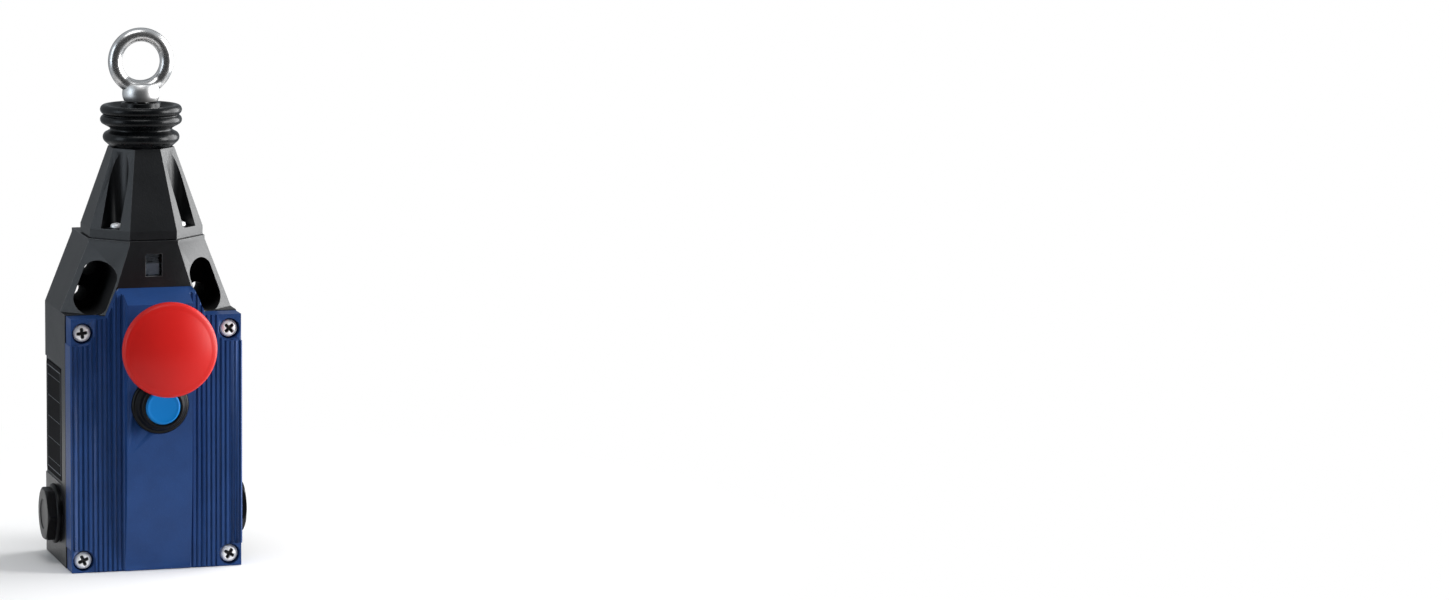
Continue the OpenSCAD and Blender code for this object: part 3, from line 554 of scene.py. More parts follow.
def lathe(profile, columns=96, outline=None):
    """Carries a profile of radius and height round an axis.

    A point of the grid is (radius cos angle, radius sin angle, height). With an outline,
    the radius at each angle is the smaller of the profile's and the outline's.
    """
    angle = np.linspace(0, TURN, columns + 1)
    radius = np.repeat(profile[:, :1], columns + 1, axis=1)
    if outline is not None:
        radius = np.minimum(radius, outline(angle)[None, :])
    height = np.repeat(profile[:, 1:], columns + 1, axis=1)
    return np.stack([radius * np.cos(angle), radius * np.sin(angle), height], axis=-1)


def coil(radius, wire, turns, low, high, steps=36, columns=12):
    """Carries a wire's circle round a helix from one height to another.

    A point of the grid is ((R + w cos b) cos a, (R + w cos b) sin a, h(a) + w sin b), with w
    half the wire. The height h climbs one wire in the first turn and in the last, and
    evenly between them; both ends are ground flat by holding heights to the limits.
    """
    half = wire / 2
    turn = np.linspace(0, turns, round(turns * steps) + 1)
    turn = np.concatenate([turn[:1], turn, turn[-1:]])[:, None]
    size = np.full_like(turn, half)
    size[[0, -1]] = 0
    around = np.linspace(0, TURN, columns + 1)[None, :]
    climb = np.interp(turn, [0, 1, turns - 1, turns],
                      [low + half * 0.3, low + half * 2.3, high - half * 2.3, high - half * 0.3])
    reach = radius + size * np.cos(around)
    height = np.clip(climb + size * np.sin(around), low, high)
    return np.stack([reach * np.cos(TURN * turn), reach * np.sin(TURN * turn), height], axis=-1)


def spun(grid, degrees):
    """Turns a lathed grid about its own axis."""
    turn = np.radians(degrees)
    return np.stack([grid[..., 0] * np.cos(turn) - grid[..., 1] * np.sin(turn),
                     grid[..., 0] * np.sin(turn) + grid[..., 1] * np.cos(turn),
                     grid[..., 2]], axis=-1)


def upright(grid, x, y, z=0.0):
    """Stands a lathed grid on the Z axis through (x, y)."""
    return grid + np.array([x, y, z])


def facing_front(grid, x, z, y=0.0):
    """Lays a lathed grid so that its height runs towards the front."""
    return np.stack([x + grid[..., 0], y - grid[..., 2], z + grid[..., 1]], axis=-1)


def facing_side(grid, side, x, y, z):
    """Lays a lathed grid so that its height runs out of a side, -1 left or 1 right."""
    return np.stack([x + side * grid[..., 2], y + side * grid[..., 0], z + grid[..., 1]], axis=-1)


def place_piece(obj, body, slot, *nodes, finish=None):
    """Finish, body and replaced CAD nodes of a new piece; a piece without a body is left unattached."""
    dress(obj, finish or slot)
    if body:
        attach(obj, body)
    if nodes:
        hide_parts(*nodes)
    return obj


def raised_edges(mesh, least):
    """1 for each edge where two faces meet outwards at more than an angle, otherwise 0.

    With n1 and n2 the normals of the two faces, and d the edge's direction as the first
    face goes round it, the edge is raised where the cross product of n1 and n2 points
    along d.
    """
    loops, faces = len(mesh.loops), len(mesh.polygons)
    corner, edge = np.empty(loops, int), np.empty(loops, int)
    mesh.loops.foreach_get("vertex_index", corner)
    mesh.loops.foreach_get("edge_index", edge)
    first, count, normal = np.empty(faces, int), np.empty(faces, int), np.empty(faces * 3)
    mesh.polygons.foreach_get("loop_start", first)
    mesh.polygons.foreach_get("loop_total", count)
    mesh.polygons.foreach_get("normal", normal)
    place = np.empty(len(mesh.vertices) * 3)
    mesh.vertices.foreach_get("co", place)
    normal, place = normal.reshape(-1, 3), place.reshape(-1, 3)
    face = np.repeat(np.arange(faces), count)
    following = np.arange(loops) + 1
    following[first + count - 1] = first
    order = np.argsort(edge, kind="stable")
    pair = order[np.searchsorted(edge[order], np.arange(len(mesh.edges)))]
    other = order[np.searchsorted(edge[order], np.arange(len(mesh.edges)), side="right") - 1]
    run = place[corner[following[pair]]] - place[corner[pair]]
    n1, n2 = normal[face[pair]], normal[face[other]]
    outward = np.einsum("ij,ij->i", np.cross(n1, n2), run) > 0
    bent = np.einsum("ij,ij->i", n1, n2) < np.cos(np.radians(least))
    return (outward & bent).astype(float)


def bore_edges(mesh, bores):
    """1 for each edge round the mouth of a bore, otherwise 0.

    Such an edge has both ends at the bore's radius from its axis.
    """
    place, ends = np.empty(len(mesh.vertices) * 3), np.empty(len(mesh.edges) * 2, int)
    mesh.vertices.foreach_get("co", place)
    mesh.edges.foreach_get("vertices", ends)
    x, _, z = place.reshape(-1, 3).T
    axis_x, axis_z, radius, _ = np.array(bores).T[:, None]
    away = np.hypot(np.abs(x)[:, None] - axis_x, z[:, None] - axis_z)
    on_wall = np.abs(away - radius) < 0.0001
    return on_wall[ends.reshape(-1, 2)].all(axis=1).any(axis=1).astype(float)


def softened_copy(node, name, width, slot, edge_finish):
    """A CAD casting with its raised edges rounded and paler: partly worn coat and partly a painted edge highlight.

    The copy is merged, its flat faces are joined, and the raised edges are bevelled; the
    bevels carry the second finish.
    """
    mesh = NODES[node].data.copy()
    mesh.materials.clear()
    work = bmesh.new()
    work.from_mesh(mesh)
    bmesh.ops.remove_doubles(work, verts=work.verts, dist=MERGE)
    bmesh.ops.dissolve_limit(work, angle_limit=np.radians(0.6), verts=work.verts,
                             edges=work.edges)
    work.to_mesh(mesh)
    work.free()
    mesh.shade_smooth()
    mesh.set_sharp_from_angle(angle=np.radians(EDGE_ANGLE))
    raised = raised_edges(mesh, EDGE_ANGLE) * (1 - bore_edges(mesh, BORES))
    weight = mesh.attributes.new("bevel_weight_edge", "FLOAT", "EDGE")
    weight.data.foreach_set("value", raised)
    obj = bpy.data.objects.new(name, mesh)
    bpy.context.scene.collection.objects.link(obj)
    bevel = obj.modifiers.new("rounded edges", "BEVEL")
    bevel.width = width
    bevel.segments = 2
    bevel.limit_method = "WEIGHT"
    bevel.use_clamp_overlap = True
    bevel.harden_normals = True
    place_piece(obj, "housing", slot, node)
    mesh.materials.append(FINISHES[edge_finish])
    bevel.material = 1
    return obj


# ---------------------------------------------------------------- operators

class ROPESWITCH_OT_finishes(bpy.types.Operator):
    """Makes the finishes and gives each CAD node the finish of its slot"""
    bl_idname = "ropeswitch.finishes"
    bl_label = "Finishes"
    bl_options = {"REGISTER", "UNDO"}

    def execute(self, context):
        """A node's slot is the one its row in the record names."""
        FINISHES.update(make_finishes())
        for part in frame["record"]["subparts"]:
            dress(NODES[part["node"]], part["material_slot"])
        return {"FINISHED"}


class ROPESWITCH_OT_castings(bpy.types.Operator):
    """Rounds the edges of the housing, the cover and the rope head"""
    bl_idname = "ropeswitch.castings"
    bl_label = "Castings"
    bl_options = {"REGISTER", "UNDO"}

    def execute(self, context):
        """The cover's edges are rounded less than those of the two black castings."""
        edge = sizes().edge_round
        softened_copy("housing", "housing_casting", edge, "black_casting", "black_edge")
        softened_copy("cover", "cover_casting", edge * 0.7, "blue_casting", "blue_edge")
        softened_copy("rope_head", "rope_head_casting", edge, "black_casting", "black_edge")
        return {"FINISHED"}


class ROPESWITCH_OT_bellows(bpy.types.Operator):
    """Rubber bellows with a dished top, between the head and the rod"""
    bl_idname = "ropeswitch.bellows"
    bl_label = "Bellows"
    bl_options = {"REGISTER", "UNDO"}

    def execute(self, context):
        """The profile runs up the outside over the folds, down the dish and up the neck."""
        low, high, middle = corner_box("bellows")
        size = sizes()
        foot = low[2]
        rim = corner_box("eye_bolt")[0][2] - size.rim_below
        tall = rim - foot
        wide, lower, waist = size.fold_radius, size.low_fold_radius, size.waist_radius
        neck = size.neck_radius
        top_c, mid_c, low_c = rim - 0.00205, foot + tall * 0.645, foot + tall * 0.225
        outer = np.vstack([
            [[0.0118, foot], [waist - 0.0003, foot], [waist + 0.0002, foot + 0.0004]],
            arc((lower - 0.0026, low_c), 0.0026, -52, 54, 14),
            arc((waist + 0.0007, foot + tall * 0.425), -0.0008, 50, -42, 6),
            arc((wide - 0.0021, mid_c), 0.0021, -56, 66, 14),
            arc((wide - 0.0008, foot + tall * 0.757), -0.0005, 56, -60, 5),
            arc((wide - 0.00205, top_c), 0.00205, -64, 112, 18),
            eased([(wide - 0.0032, rim - 0.0002), (wide - 0.0044, rim - 0.0012),
                   (neck + 0.0022, rim - 0.0024), (neck + 0.0003, rim - 0.0022),
                   (neck - 0.0002, high[2] - 0.0002), (0.0043, high[2])],
                  [0, 0.0008, 0.0012, 0.0006, 0.0004, 0]),
            [[0.0043, rim - 0.0032], [0.0118, rim - 0.0050], [0.0118, foot]]])
        piece = grid_object("bellows_rubber", [upright(lathe(outer, 160), 0, middle[1])], 75)
        place_piece(piece, None, "black_rubber", "bellows")
        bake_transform(piece)
        return {"FINISHED"}


class ROPESWITCH_OT_springs(bpy.types.Operator):
    """Coil springs of the rod and of both buttons"""
    bl_idname = "ropeswitch.springs"
    bl_label = "Springs"
    bl_options = {"REGISTER", "UNDO"}

    def place(self, grid, node, joint, along):
        """One spring in the box of its node.

        What it would keep of its length, 1 - travel / length along the axis of that index, is worked out but not
        used.
        """
        low, high, middle = corner_box(node)
        piece = grid_object(node + "_coil", [grid], 50)
        place_piece(piece, "housing", "spring_steel", node)
        travel = next(j for j in frame["joints"] if j["name"] == joint)["range_m"][1]
        axis, fixed = np.eye(3)[along], middle.copy()
        fixed[along] = high[along]
        float(1 - travel / (high[along] - low[along]))
        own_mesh(piece)

    def execute(self, context):
        """Each coil fills its node's box: its outer radius, and its length end to end."""
        low, high, middle = corner_box("main_spring")
        wire, ground_off = sizes().spring_wire, 0.0001
        grid = coil((high[0] - low[0] - wire) / 2, wire, 9, low[2] - ground_off,
                    high[2] + ground_off)
        self.place(upright(grid, 0, middle[1]), "main_spring", "rope_pull", 2)
        for node, joint, wire, turns in (("stop_spring", "stop_press", 0.0013, 5),
                                         ("reset_spring", "reset_press", 0.0010, 3.5)):
            low, high, middle = corner_box(node)
            grid = coil((high[0] - low[0] - wire) / 2, wire, turns, -high[1], -low[1])
            self.place(facing_front(grid, 0, middle[2]), node, joint, 1)
        return {"FINISHED"}


class ROPESWITCH_OT_eye(bpy.types.Operator):
    """Forged eye that grows out of its round collar"""
    bl_idname = "ropeswitch.eye"
    bl_label = "Eye"
    bl_options = {"REGISTER", "UNDO"}

    def execute(self, context):
        """The wire is carried round an oval; its width and its foot swell into the collar."""
        low, high, middle = corner_box("eye_bolt")
        wire = sizes().wire_radius
        ring_x = (high[0] - low[0]) / 2 - wire
        ring_z = ring_x + 0.0002
        centre = high[2] - wire - ring_z
        turn = np.linspace(0, TURN, 129)[:, None]
        around = np.linspace(0, TURN, 41)[None, :]
        foot = np.clip((-np.cos(turn) - 0.70) / 0.30, 0, 1) ** 1.5
        thick = wire * (1 + 0.10 * foot)
        deep = wire * (1 + 0.55 * foot)
        reach_x = ring_x + thick * np.cos(around)
        reach_z = ring_z + thick * np.cos(around)
        ring = np.stack([reach_x * np.sin(turn), middle[1] + deep * np.sin(around) + 0 * turn,
                         centre + reach_z * np.cos(turn)], axis=-1)
        base = low[2]
        radius = sizes().collar_radius
        top = base + sizes().collar_height
        collar = eased([(0.0042, base), (radius - 0.0008, base), (radius, base + 0.0020),
                        (radius, top - 0.0024), (radius - 0.0014, top + 0.0003),
                        (0.0, top + 0.0006)],
                       [0, 0.0005, 0.0018, 0.0018, 0.0008, 0])
        bore = np.array([[0.0, base + 0.0053], [0.0042, base + 0.0053], [0.0042, base]])
        body = np.vstack([bore, collar])
        piece = grid_object("eye_forged", [ring, upright(lathe(body, 96), 0, middle[1])], 50)
        place_piece(piece, "eye", "eye_steel", "eye_bolt")
        return {"FINISHED"}


class ROPESWITCH_OT_stop_button(bpy.types.Operator):
    """Red mushroom and its black neck"""
    bl_idname = "ropeswitch.stop_button"
    bl_label = "Emergency stop button"
    bl_options = {"REGISTER", "UNDO"}

    def execute(self, context):
        """Both are turned about an axis towards the front; heights start at the band."""
        low, high, middle = corner_box("stop_mushroom")
        radius, edge = (high[0] - low[0]) / 2, sizes().cap_edge
        crown, lip = -low[1], -high[1]
        rim = (radius - edge, crown - 0.0066)
        wide, rise = radius - 0.0019, sizes().cap_dome
        ball = (wide ** 2 + rise ** 2) / (2 * rise)
        reach = np.linspace(radius - edge * 0.62, 0, 26)[1:]
        dome = np.column_stack([reach, crown - ball + np.sqrt(ball ** 2 - reach ** 2)])
        inner = 0.0134
        skirt = eased([(0, lip + 0.0118), (inner, lip + 0.0118), (inner, lip),
                       (inner + 0.0016, lip), arc(rim, edge, -50, -50, 1)[0]],
                      [0, 0.0008, 0.0003, 0.0005, 0])
        cap = np.vstack([skirt, arc(rim, edge, -50, 56, 16), dome])
        piece = grid_object("stop_mushroom_cap", [facing_front(lathe(cap, 160), 0, middle[2])], 50)
        place_piece(piece, "stop_button", "red_plastic", "stop_mushroom")
        neck_low, neck_high, neck = corner_box("stop_neck")
        out = -neck_low[1]
        face = out - 0.010
        girth = (neck_high[0] - neck_low[0]) / 2
        hole = 0.00496
        sleeve = eased([(hole, -neck_high[1]), (0.0092, -neck_high[1]), (0.0092, face),
                        (girth, face), (girth, face + 0.0016), (girth - 0.0007, face + 0.0021),
                        (girth - 0.0007, out - 0.0012), (girth - 0.0017, out), (hole, out),
                        (hole, -neck_high[1])],
                       [0, 0.0004, 0.0002, 0.0003, 0.0003, 0.0003, 0.0003, 0.0005, 0.0003, 0])
        piece = grid_object("stop_button_neck", [facing_front(lathe(sleeve, 112), 0, neck[2])], 40)
        place_piece(piece, "housing", "dark_plastic", "stop_neck")
        return {"FINISHED"}


class ROPESWITCH_OT_reset_button(bpy.types.Operator):
    """Blue reset button in its stepped, conical bezel"""
    bl_idname = "ropeswitch.reset_button"
    bl_label = "Reset button"
    bl_options = {"REGISTER", "UNDO"}

    def execute(self, context):
        """The face is slightly dished; the bezel falls from its lip in three steps."""
        low, high, middle = corner_box("reset_button")
        radius, front, back = (high[0] - low[0]) / 2, -low[1], -high[1]
        face = eased([(0, back), (radius, back), (radius, front - 0.0006),
                      (radius - 0.0007, front), (radius - 0.0016, front - 0.00025),
                      (0, front - 0.0005)], [0, 0.0002, 0.0003, 0.0004, 0.0006, 0])
        piece = grid_object("reset_button_face", [facing_front(lathe(face, 96), 0, middle[2])], 40)
        place_piece(piece, "reset_button", "blue_plastic", "reset_button")
        low, high, middle = corner_box("reset_bezel")
        foot, out, tail = (high[0] - low[0]) / 2, -low[1], -high[1]
        base = out - 0.0068
        bore = radius + 0.00006
        ring = eased([(bore, base - 0.003), (0.0092, base - 0.003), (0.0092, base), (foot, base),
                      (foot, base + 0.0010), (foot - 0.0007, base + 0.0017),
                      (foot - 0.0013, base + 0.0018), (foot - 0.0024, base + 0.0040),
                      (foot - 0.0027, base + 0.0041), (bore + 0.0016, out - 0.0007),
                      (bore + 0.0011, out), (bore + 0.0004, out), (bore, out - 0.0004),
                      (bore, base - 0.003)],
                     [0, 0.0002, 0.0002, 0.0002, 0.0005, 0.0003, 0.0003, 0.0003, 0.0002, 0.0004,
                      0.0003, 0.0002, 0.0002, 0])
        shank = np.array([(0.0044, tail), (0.0092, tail), (0.0092, base - 0.0029),
                          (0.0044, base - 0.0029), (0.0044, tail)])
        piece = grid_object("reset_button_bezel",
                            [facing_front(lathe(ring, 112), 0, middle[2]),
                             facing_front(lathe(shank, 64), 0, middle[2])], 40)
        place_piece(piece, "housing", "dark_plastic", "reset_bezel")
        return {"FINISHED"}


class ROPESWITCH_OT_plugs(bpy.types.Operator):
    """Hexagon headed blanking plugs with turned flanges"""
    bl_idname = "ropeswitch.plugs"
    bl_label = "Blanking plugs"
    bl_options = {"REGISTER", "UNDO"}

    def execute(self, context):
        """A hexagon of the angle cuts the turned profile of flange, head and thread."""
        for node, side, turn in (("plug_left", -1, 0.0), ("plug_right", 1, 18.0)):
            low, high, middle = corner_box(node)
            outer = high[0] if side > 0 else low[0]
            inner = low[0] if side > 0 else high[0]
            tall = abs(outer - inner)
            flange = (high[1] - low[1]) / 2
            corner, head, disc = sizes().plug_corner, 0.0036, 0.0020
            thread = tall - head - disc
            shoulder = eased([(0, 0), (0.0088, 0), (0.0095, 0.0008), (0.0095, thread),
                              (flange, thread), (flange, thread + disc * 0.65),
                              (flange - 0.0008, thread + disc), (0.0112, thread + disc),
                              (0, thread + disc)],
                             [0, 0.0002, 0.0003, 0.0002, 0.0003, 0.0005, 0.0005, 0.0003, 0])
            top = thread + disc + head
            cap = eased([(0, thread + disc - 0.0003), (corner, thread + disc - 0.0003),
                         (corner, top - 0.0011), (corner - 0.0013, top), (0.0068, top),
                         (0.0062, top - 0.0004), (0, top - 0.0004)],
                        [0, 0.0001, 0.0005, 0.0006, 0.0003, 0.0003, 0])

            def hexagon(angle, turn=np.radians(turn)):
                """Distance from the axis to the hexagon's side, its corners cut short."""
                sector = (angle - turn + TURN / 12) % (TURN / 6) - TURN / 12
                flat = corner * np.cos(TURN / 12) / np.cos(TURN / 12 - np.abs(sector))
                return np.minimum(flat, corner * 0.985)

            grids = [facing_side(lathe(shoulder, 96), side, inner, middle[1], middle[2]),
                     facing_side(lathe(cap, 240, hexagon), side, inner, middle[1], middle[2])]
            piece = grid_object(node + "_head", grids, 30)
            place_piece(piece, "housing", "dark_plastic", node)
        return {"FINISHED"}


def cross_screw(radius, head, shank, tail, recess, columns=96):
    """A pan head with a cross recess, its shank below.

    Height over the head is a flattened dome minus a cross: each arm is a slot that fades
    out at its end, and the deeper of the two arms counts.
    """
    ring = np.concatenate([np.linspace(1, 0.86, 5), np.linspace(0.82, 0, 34)])[:, None]
    angle = np.linspace(0, TURN, columns + 1)[None, :]
    across, along = radius * ring * np.cos(angle), radius * ring * np.sin(angle)
    dome = head * (0.40 + 0.60 * np.sqrt(np.clip(1 - ring ** 2.2, 0, 1)))

    def arm(side, run):
        """Depth of one slot of the cross, 1 along its middle."""
        width = np.clip(1.45 - np.abs(side) / (recess * 0.23), 0, 1)
        reach = np.clip((recess - np.abs(run)) / (recess * 0.30), 0, 1)
        return width * reach

    depth = np.maximum(arm(across, along), arm(along, across)) * head * 0.85
    top = np.stack([across, along, dome - depth + 0 * angle], axis=-1)
    body = np.array([(0, -tail), (shank * 0.8, -tail), (shank, -tail + shank * 0.3), (shank, 0),
                     (radius, 0), (radius, head * 0.40)])
    return (top, depth / depth.max()), (lathe(body, columns), np.zeros((len(body), columns + 1)))


def quarter_boxes(node, first, second):
    """Boxes of the four screws of a CAD node, one in each quarter between two axes."""
    place = np.empty(len(NODES[node].data.vertices) * 3)
    NODES[node].data.vertices.foreach_get("co", place)
    place = place.reshape(-1, 3)
    middle = (place.min(0) + place.max(0)) / 2
    quarter = (place[:, first] > middle[first]) + 2 * (place[:, second] > middle[second])
    return [(place[quarter == i].min(0), place[quarter == i].max(0)) for i in range(4)]


class ROPESWITCH_OT_screws(bpy.types.Operator):
    """Cross-recessed screws of the cover and of the rope head"""
    bl_idname = "ropeswitch.screws"
    bl_label = "Screws"
    bl_options = {"REGISTER", "UNDO"}

    def execute(self, context):
        """Each screw stands in the box of its quarter; no two cover screws are turned alike."""
        size = sizes()
        grids, marks = [], []
        for i, (low, high) in enumerate(quarter_boxes("cover_screws", 0, 2)):
            middle = (low + high) / 2
            for grid, mark in cross_screw(size.screw_radius, size.screw_height, 0.00195,
                                          high[1] - low[1] - size.screw_height,
                                          size.screw_cross):
                grid = facing_front(spun(grid, 23 + 37 * i), middle[0], middle[2],
                                    low[1] + size.screw_height)
                grids.append(grid)
                marks.append(mark)
        piece = grid_object("cover_screw_heads", grids, 35, marks)
        place_piece(piece, "housing", "zinc_steel", "cover_screws", finish="screw_zinc")
        grids, marks = [], []
        for low, high in quarter_boxes("head_screws", 0, 1):
            middle, tall = (low + high) / 2, 0.0018
            for grid, mark in cross_screw((high[0] - low[0]) / 2, tall, 0.0012,
                                          high[2] - low[2] - tall, 0.0015, 64):
                grids.append(upright(grid, middle[0], middle[1], high[2] - tall))
                marks.append(mark)
        piece = grid_object("rope_head_screws", grids, 35, marks)
        place_piece(piece, "housing", "zinc_steel", "head_screws", finish="screw_zinc")
        return {"FINISHED"}


class ROPESWITCH_OT_window(bpy.types.Operator):
    """Ribbed silver marker behind the window"""
    bl_idname = "ropeswitch.window"
    bl_label = "Marker"
    bl_options = {"REGISTER", "UNDO"}

    def execute(self, context):
        """The front is a row of rounded ribs: depth follows the sine of the height."""
        low, high, _ = corner_box("indicator_marker")
        rib = sizes().marker_rib
        rows = np.linspace(high[2] - 0.012, high[2], 97)[:, None]
        columns = np.linspace(low[0], high[0], 9)[None, :]
        wave = 0.00022 * (1 - np.abs(np.sin(np.pi * (rows - high[2]) / rib)))
        front = np.stack([columns + 0 * rows, low[1] + 0.0002 - wave + 0 * columns,
                          rows + 0 * columns], axis=-1)
        back = front.copy()
        back[..., 1] = low[1] + 0.0026
        rim = [np.stack([front[0], back[0]]), np.stack([front[-1], back[-1]]),
               np.stack([front[:, 0], back[:, 0]]), np.stack([front[:, -1], back[:, -1]])]
        piece = grid_object("marker_ribs", [front, back, *rim], 60)
        place_piece(piece, "rod", "marker_silver")
        return {"FINISHED"}


def plate_outline(half_wide, half_tall, corner, steps=8):
    """Points round a rectangle with rounded corners, closed."""
    wide, tall = half_wide - corner, half_tall - corner
    ends = [(wide, tall, 0), (-wide, tall, 90), (-wide, -tall, 180), (wide, -tall, 270)]
    points = np.vstack([arc((x, z), corner, a, a + 90, steps) for x, z, a in ends])
    return np.vstack([points, points[:1]])


class ROPESWITCH_OT_type_plate(bpy.types.Operator):
    """Blank type plate on the left side, held by a pressed rim"""
    bl_idname = "ropeswitch.type_plate"
    bl_label = "Type plate"
    bl_options = {"REGISTER", "UNDO"}

    def execute(self, context):
        """The outline is drawn in step by step while the height rises over a pressed rim."""
        half, (y, z) = label_place()
        outline = plate_outline(*half, 0.0016)
        inset = np.array([0, 0, 0.00008, 0.0007, 0.0009, 0.0040])
        height = np.array([-0.0001, 0.00028, 0.00034, 0.00034, 0.00030, 0.00030])
        flat = outline[None] * (1 - inset[:, None] / half[None, :])[:, None, :]
        flat = np.concatenate([np.zeros_like(flat[:1]), flat, np.zeros_like(flat[:1])])
        height = np.concatenate([height[:1], height, height[-1:]])
        side = corner_box("housing")[0][0] + 0.0005
        grid = np.stack([side - height[:, None] + 0 * flat[..., 0], y + flat[..., 0],
                         z + flat[..., 1]], axis=-1)
        piece = grid_object("blank_type_plate", [grid], 40)
        place_piece(piece, "housing", "dark_plastic", finish="ruled_plate")
        return {"FINISHED"}


def look_from(position, azimuth, elevation, roll):
    """Camera matrix from a place and its three angles in degrees."""
    a, e, r = np.radians([azimuth, elevation, roll])
    back = Vector((np.sin(a) * np.cos(e), -np.cos(a) * np.cos(e), np.sin(e)))
    right = Vector((np.cos(a), np.sin(a), 0))
    up = back.cross(right)
    spun_right = right * np.cos(r) + up * np.sin(r)
    spun_up = up * np.cos(r) - right * np.sin(r)
    turned = Matrix((spun_right, spun_up, back)).transposed().to_4x4()
    return Matrix.Translation(position) @ turned


SENSOR = 36.0                                    # width of the sensor in millimetres
LENS_SHARE = 5150.366 / 1449                     # focal length over the sensor's width
CAMERA_PLACE = (-0.459827, -2.200055, 0.327241)
CAMERA_TURN = (-18.466, 8.422, 0.738)            # azimuth, elevation and roll in degrees
WHITE, SKY = (1.0, 1.0, 1.0), (0.80, 0.90, 1.0)
LAMPS = (                                        # direction, distance, size, watts, tint
    ("right_light", (0.95, 0.22, 0.20), 1.5, (1.0, 1.4), 34, WHITE),
    ("left_light", (-0.94, -0.16, 0.22), 1.6, (0.7, 1.2), 8.5, SKY),
    ("front_light", (0.90, -0.40, 0.18), 1.7, (0.7, 1.2), 40, WHITE),
    ("top_light", (-0.10, -0.35, 0.95), 1.6, (0.9, 0.7), 9, WHITE),
)


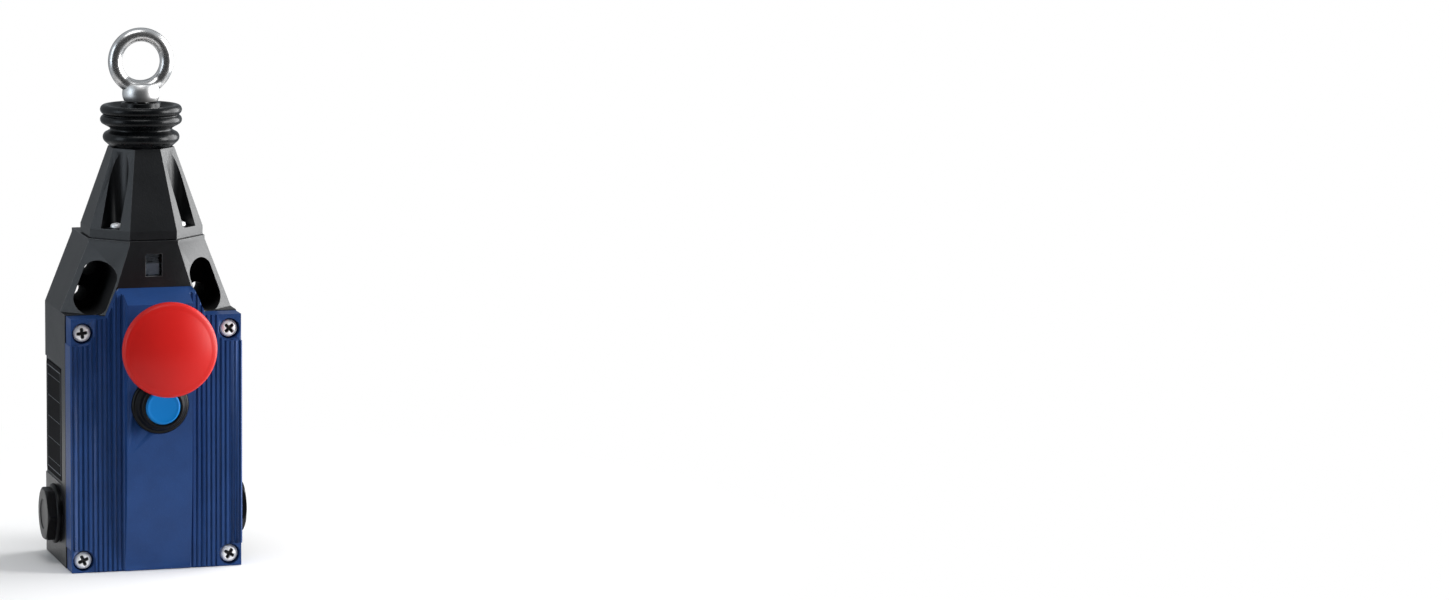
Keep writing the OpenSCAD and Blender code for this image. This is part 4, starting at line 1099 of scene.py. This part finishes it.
class ROPESWITCH_OT_stage(bpy.types.Operator):
    """Pale floor, soft lights, white surroundings and the camera"""
    bl_idname = "ropeswitch.stage"
    bl_label = "Stage"
    bl_options = {"REGISTER", "UNDO"}

    def lamp(self, aim, name, direction, distance, size, power, tint):
        """A soft rectangular lamp that faces the switch."""
        light = bpy.data.lights.new(name, "AREA")
        light.shape = "RECTANGLE"
        light.size, light.size_y = size
        light.energy = power
        light.color = tint
        obj = bpy.data.objects.new(name, light)
        way = Vector(direction).normalized()
        obj.location = aim + way * distance
        obj.rotation_mode = "QUATERNION"
        obj.rotation_quaternion = way.to_track_quat("Z", "Y")
        bpy.context.scene.collection.objects.link(obj)

    def surroundings(self):
        """White behind the switch; metal and gloss also see a dim room in front of it.

        The gloss light rises from the dim room to white as a ray's direction turns to the
        back, to the right, to the left or up.
        """
        world = bpy.data.worlds.new("white_surroundings")
        world.use_nodes = True
        room = Recipe(world.node_tree)
        way = room.add("ShaderNodeTexCoord", output="Generated")
        across, back, up = (room.add("ShaderNodeSeparateXYZ", {}, {0: way}, i) for i in range(3))
        away = across * 0.20 + back * 0.97 - up * 0.15
        walls = room.between(away, -0.82, -0.10, 0.03, 0.75)
        walls = walls * room.between(away, 0.35, 0.75, 1, 0.5)
        walls = walls.at_least(room.between(across, 0.62, 0.88, 0, 0.95))
        walls = walls.at_least(room.between(up, 0.55, 0.90, 0, 0.60))
        seen = room.add("ShaderNodeLightPath", output="Is Camera Ray")
        seen = seen.at_least(room.add("ShaderNodeLightPath", output="Is Transmission Ray"))
        gloss = room.add("ShaderNodeLightPath", output="Is Glossy Ray")
        strength = seen.at_least(gloss * walls).at_least((1 - seen) * (1 - gloss) * 0.30)
        light = room.tree.nodes.new("ShaderNodeBackground")
        room.link(room.blend(gloss, (1, 1, 1), (0.88, 0.94, 1.0)), light, "Color")
        room.link(strength, light, "Strength")
        out = room.tree.nodes.new("ShaderNodeOutputWorld")
        room.tree.links.new(light.outputs[0], out.inputs[0])
        return world

    def execute(self, context):
        """The floor lies under the base; far from the switch it turns into plain white."""
        scene = bpy.context.scene
        low, _, middle = corner_box("housing")
        ground = low[2] - 0.0002
        rings = np.array([[0.0, ground], [0.1, ground], [0.22, ground], [0.34, ground]])
        floor = grid_object("floor", [upright(lathe(rings, 96), 0, middle[1])])
        paint = Finish("pale_floor", Roughness=0.9, Specular_IOR_Level=0.1)
        tone = tuple(colours().floor)
        cloud = paint.noise(0.4, 2.0)
        paint.feed("Base Color", paint.blend(cloud, lighter(tone, 0.99), lighter(tone, 1.01)))
        away = paint.add("ShaderNodeVectorMath", {"operation": "LENGTH"}, {0: paint.place}, 1)
        far = paint.between(away, 0.17, 0.33)
        ray = paint.add("ShaderNodeLightPath", output="Is Camera Ray")
        glow = paint.tree.nodes.new("ShaderNodeEmission")
        mix = paint.tree.nodes.new("ShaderNodeMixShader")
        paint.tree.links.new((far * ray).socket, mix.inputs[0])
        paint.tree.links.new(paint.shader.outputs[0], mix.inputs[1])
        paint.tree.links.new(glow.outputs[0], mix.inputs[2])
        paint.tree.links.new(mix.outputs[0], paint.output.inputs[0])
        floor.data.materials.append(paint.material)

        scene.world = self.surroundings()

        aim = Vector((0, -0.03, 0.0))
        for row in LAMPS:
            self.lamp(aim, *row)

        camera = bpy.data.cameras.new("camera")
        camera.sensor_fit = "HORIZONTAL"
        camera.sensor_width = SENSOR
        camera.lens = LENS_SHARE * SENSOR
        camera.clip_start, camera.clip_end = 0.05, 60.0
        obj = bpy.data.objects.new("camera", camera)
        obj.matrix_world = look_from(Vector(CAMERA_PLACE), *CAMERA_TURN)
        scene.collection.objects.link(obj)
        scene.camera = obj
        scene.view_settings.view_transform = "Standard"
        return {"FINISHED"}


STEPS = (ROPESWITCH_OT_finishes, ROPESWITCH_OT_castings, ROPESWITCH_OT_bellows,
         ROPESWITCH_OT_springs, ROPESWITCH_OT_eye, ROPESWITCH_OT_stop_button,
         ROPESWITCH_OT_reset_button, ROPESWITCH_OT_plugs, ROPESWITCH_OT_screws,
         ROPESWITCH_OT_window, ROPESWITCH_OT_type_plate, ROPESWITCH_OT_stage)


class ROPESWITCH_PT_panel(bpy.types.Panel):
    """Sizes, colours and steps of the rope pull switch"""
    bl_idname = "ROPESWITCH_PT_panel"
    bl_label = "Rope pull switch"
    bl_space_type = "VIEW_3D"
    bl_region_type = "UI"
    bl_category = "Rope switch"

    def draw(self, context):
        """Both groups of settings, then a button for each step."""
        for group in (context.scene.rope_switch_sizes, context.scene.rope_switch_colours):
            box = self.layout.box()
            for name in group.__annotations__:
                box.prop(group, name)
        for step in STEPS:
            self.layout.operator(step.bl_idname)


CLASSES = (SwitchSizes, SwitchColours, *STEPS, ROPESWITCH_PT_panel)


def register():
    """Adds the panel, the operators and their settings."""
    for cls in CLASSES:
        bpy.utils.register_class(cls)
    bpy.types.Scene.rope_switch_sizes = PointerProperty(type=SwitchSizes)
    bpy.types.Scene.rope_switch_colours = PointerProperty(type=SwitchColours)


def unregister():
    """Takes them away again."""
    del bpy.types.Scene.rope_switch_colours
    del bpy.types.Scene.rope_switch_sizes
    for cls in reversed(CLASSES):
        bpy.utils.unregister_class(cls)


def main():
    """Registers the add-on and runs its steps in order."""
    register()
    for step in STEPS:
        group, name = step.bl_idname.split(".")
        getattr(getattr(bpy.ops, group), name)()
    bpy.context.view_layer.update()


if __name__ == "__main__":
    main()
